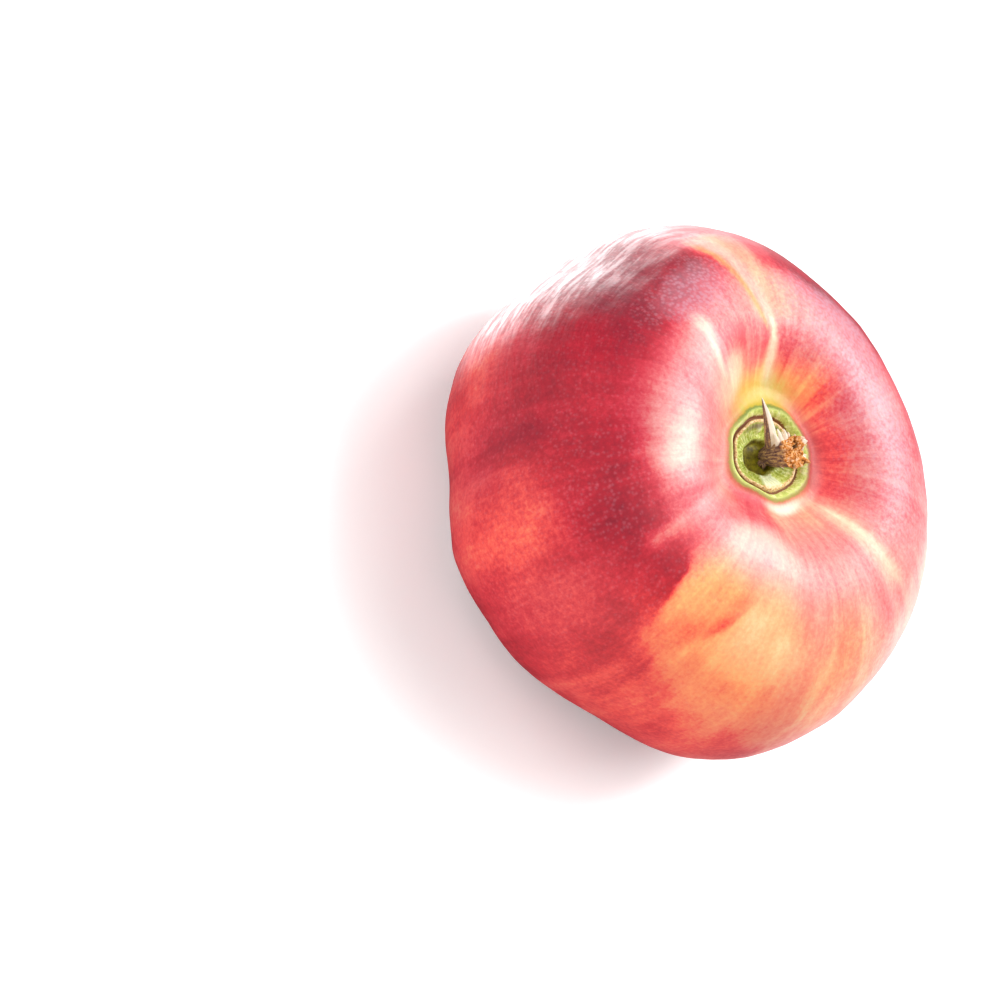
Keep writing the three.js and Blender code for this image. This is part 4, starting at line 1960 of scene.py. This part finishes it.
@dataclass
class Studio:
    """A pale floor, large soft lights, a bright even surrounding and the camera."""

    floor_side: float = 6.0
    floor_gap: float = 0.05 * MM  # keeps the floor and the fruit's flats from sharing a plane
    stage_sides: int = 48
    wall_rows: int = 12
    surrounding: float = 0.07
    glows: tuple[Glow, ...] = (
        Glow((-0.70, 0.56, -0.44), 6.0, (0.80, 0.96)),
        Glow((0.45, 0.80, -0.40), 3.0, (0.86, 0.99)),
    )
    lights: tuple[Softbox, ...] = (
        Softbox("key_softbox", (-0.02, 0.80, 0.62), 1.5, (1.35, 1.2), 14.0),
        Softbox("key_strip", (0.05, 0.60, 0.80), 1.4, (0.36, 1.0), 11.0),
        Softbox("high_softbox", (0.0, 0.32, 0.95), 1.5, (1.3, 0.6), 7.0),
        Softbox("front_fill", (-0.55, -0.65, 0.50), 1.5, (1.2, 1.2), 12.5, False),
        Softbox("right_fill", (0.60, -0.75, 0.25), 1.5, (1.0, 1.0), 9.0, False),
        Softbox("top_fill", (0.0, -0.2, 1.0), 1.5, (1.2, 1.2), 4.0, False),
    )
    viewpoint: Viewpoint = field(default_factory=Viewpoint)
    floor_finish: FloorFinish = field(default_factory=FloorFinish)
    wall_finish: WallFinish = field(default_factory=WallFinish)

    def build(self, target: Vector) -> None:
        """Sets the studio up round the target.

        Args:
            target: The middle of the fruit's widest level, in metres.
        """
        self.floor()
        for light in self.lights:
            light.place(target)
        self.viewpoint.place(target)
        bpy.context.scene.world = self.surround()
        bpy.context.scene.view_settings.view_transform = "Standard"

    def surround(self) -> bpy.types.World:
        """Makes the surrounding even, with its glows added.

        Returns:
            The scene's world.
        """
        nodes = Nodes(bpy.data.worlds.new("studio"))
        direction = nodes.node("ShaderNodeTexCoord", output="Generated")
        strength = sum((glow.over(nodes, direction) for glow in self.glows), self.surrounding)
        white = {"Color": (1.0, 1.0, 1.0, 1.0), "Strength": strength}
        return nodes.close(nodes.node("ShaderNodeBackground", None, white), "ShaderNodeOutputWorld")

    def floor(self) -> None:
        """Lays the floor just under the fruit's flats, and puts a pale domed wall round it."""
        level = np.full(2, -self.floor_gap / (self.floor_side / 2.0))
        self.stand("studio_floor", np.array([0.0, 1.0]), level, self.floor_finish.material())
        rise = np.linspace(0.0, math.pi / 2.0, self.wall_rows)
        wall = self.stand("studio_wall", np.cos(rise), np.sin(rise), self.wall_finish.material())
        wall.visible_diffuse = wall.visible_shadow = False

    def stand(self, name: str, out: Array, up: Array, material: bpy.types.Material) -> bpy.types.Object:
        """Turns a profile round the Z axis into a part of the stage that no gloss shows.

        Args:
            name: The part's name.
            out: How far out each point of the profile lies, in halves of the floor's side.
            up: How high each point lies, in the same unit.
            material: What it is made of.

        Returns:
            The part.
        """
        around = np.arange(self.stage_sides) * 2.0 * math.pi / self.stage_sides
        around, out, up = np.broadcast_arrays(around, out[:, None], up[:, None])
        points = np.stack([out * np.cos(around), out * np.sin(around), up], axis=-1)
        mesh = bpy.data.meshes.new(name)
        places = points.reshape(-1, 3) * self.floor_side / 2.0
        mesh.from_pydata(places.tolist(), [], grid_quads(*around.shape).tolist())
        mesh.materials.append(material)
        part = linked(name, mesh)
        part.visible_glossy = False
        return part


def main() -> None:
    """Builds and dresses the fruit and its stalk, and sets up the studio round them."""
    logging.basicConfig(level=logging.INFO, format="%(name)s: %(message)s")
    fruit = NectarineFruit()
    skin = fruit.build()
    fruit.dress(skin)
    LOG.info("%s: %d faces", skin.name, len(skin.data.polygons))
    stalk = TornStalk()
    stub = stalk.build(fruit.scar_middle())
    stalk.dress(stub)
    LOG.info("%s: %d faces", stub.name, len(stub.data.polygons))
    Studio().build(Vector(fruit.axis) * MM)
    LOG.info("studio set up")


if __name__ == "__main__":
    main()
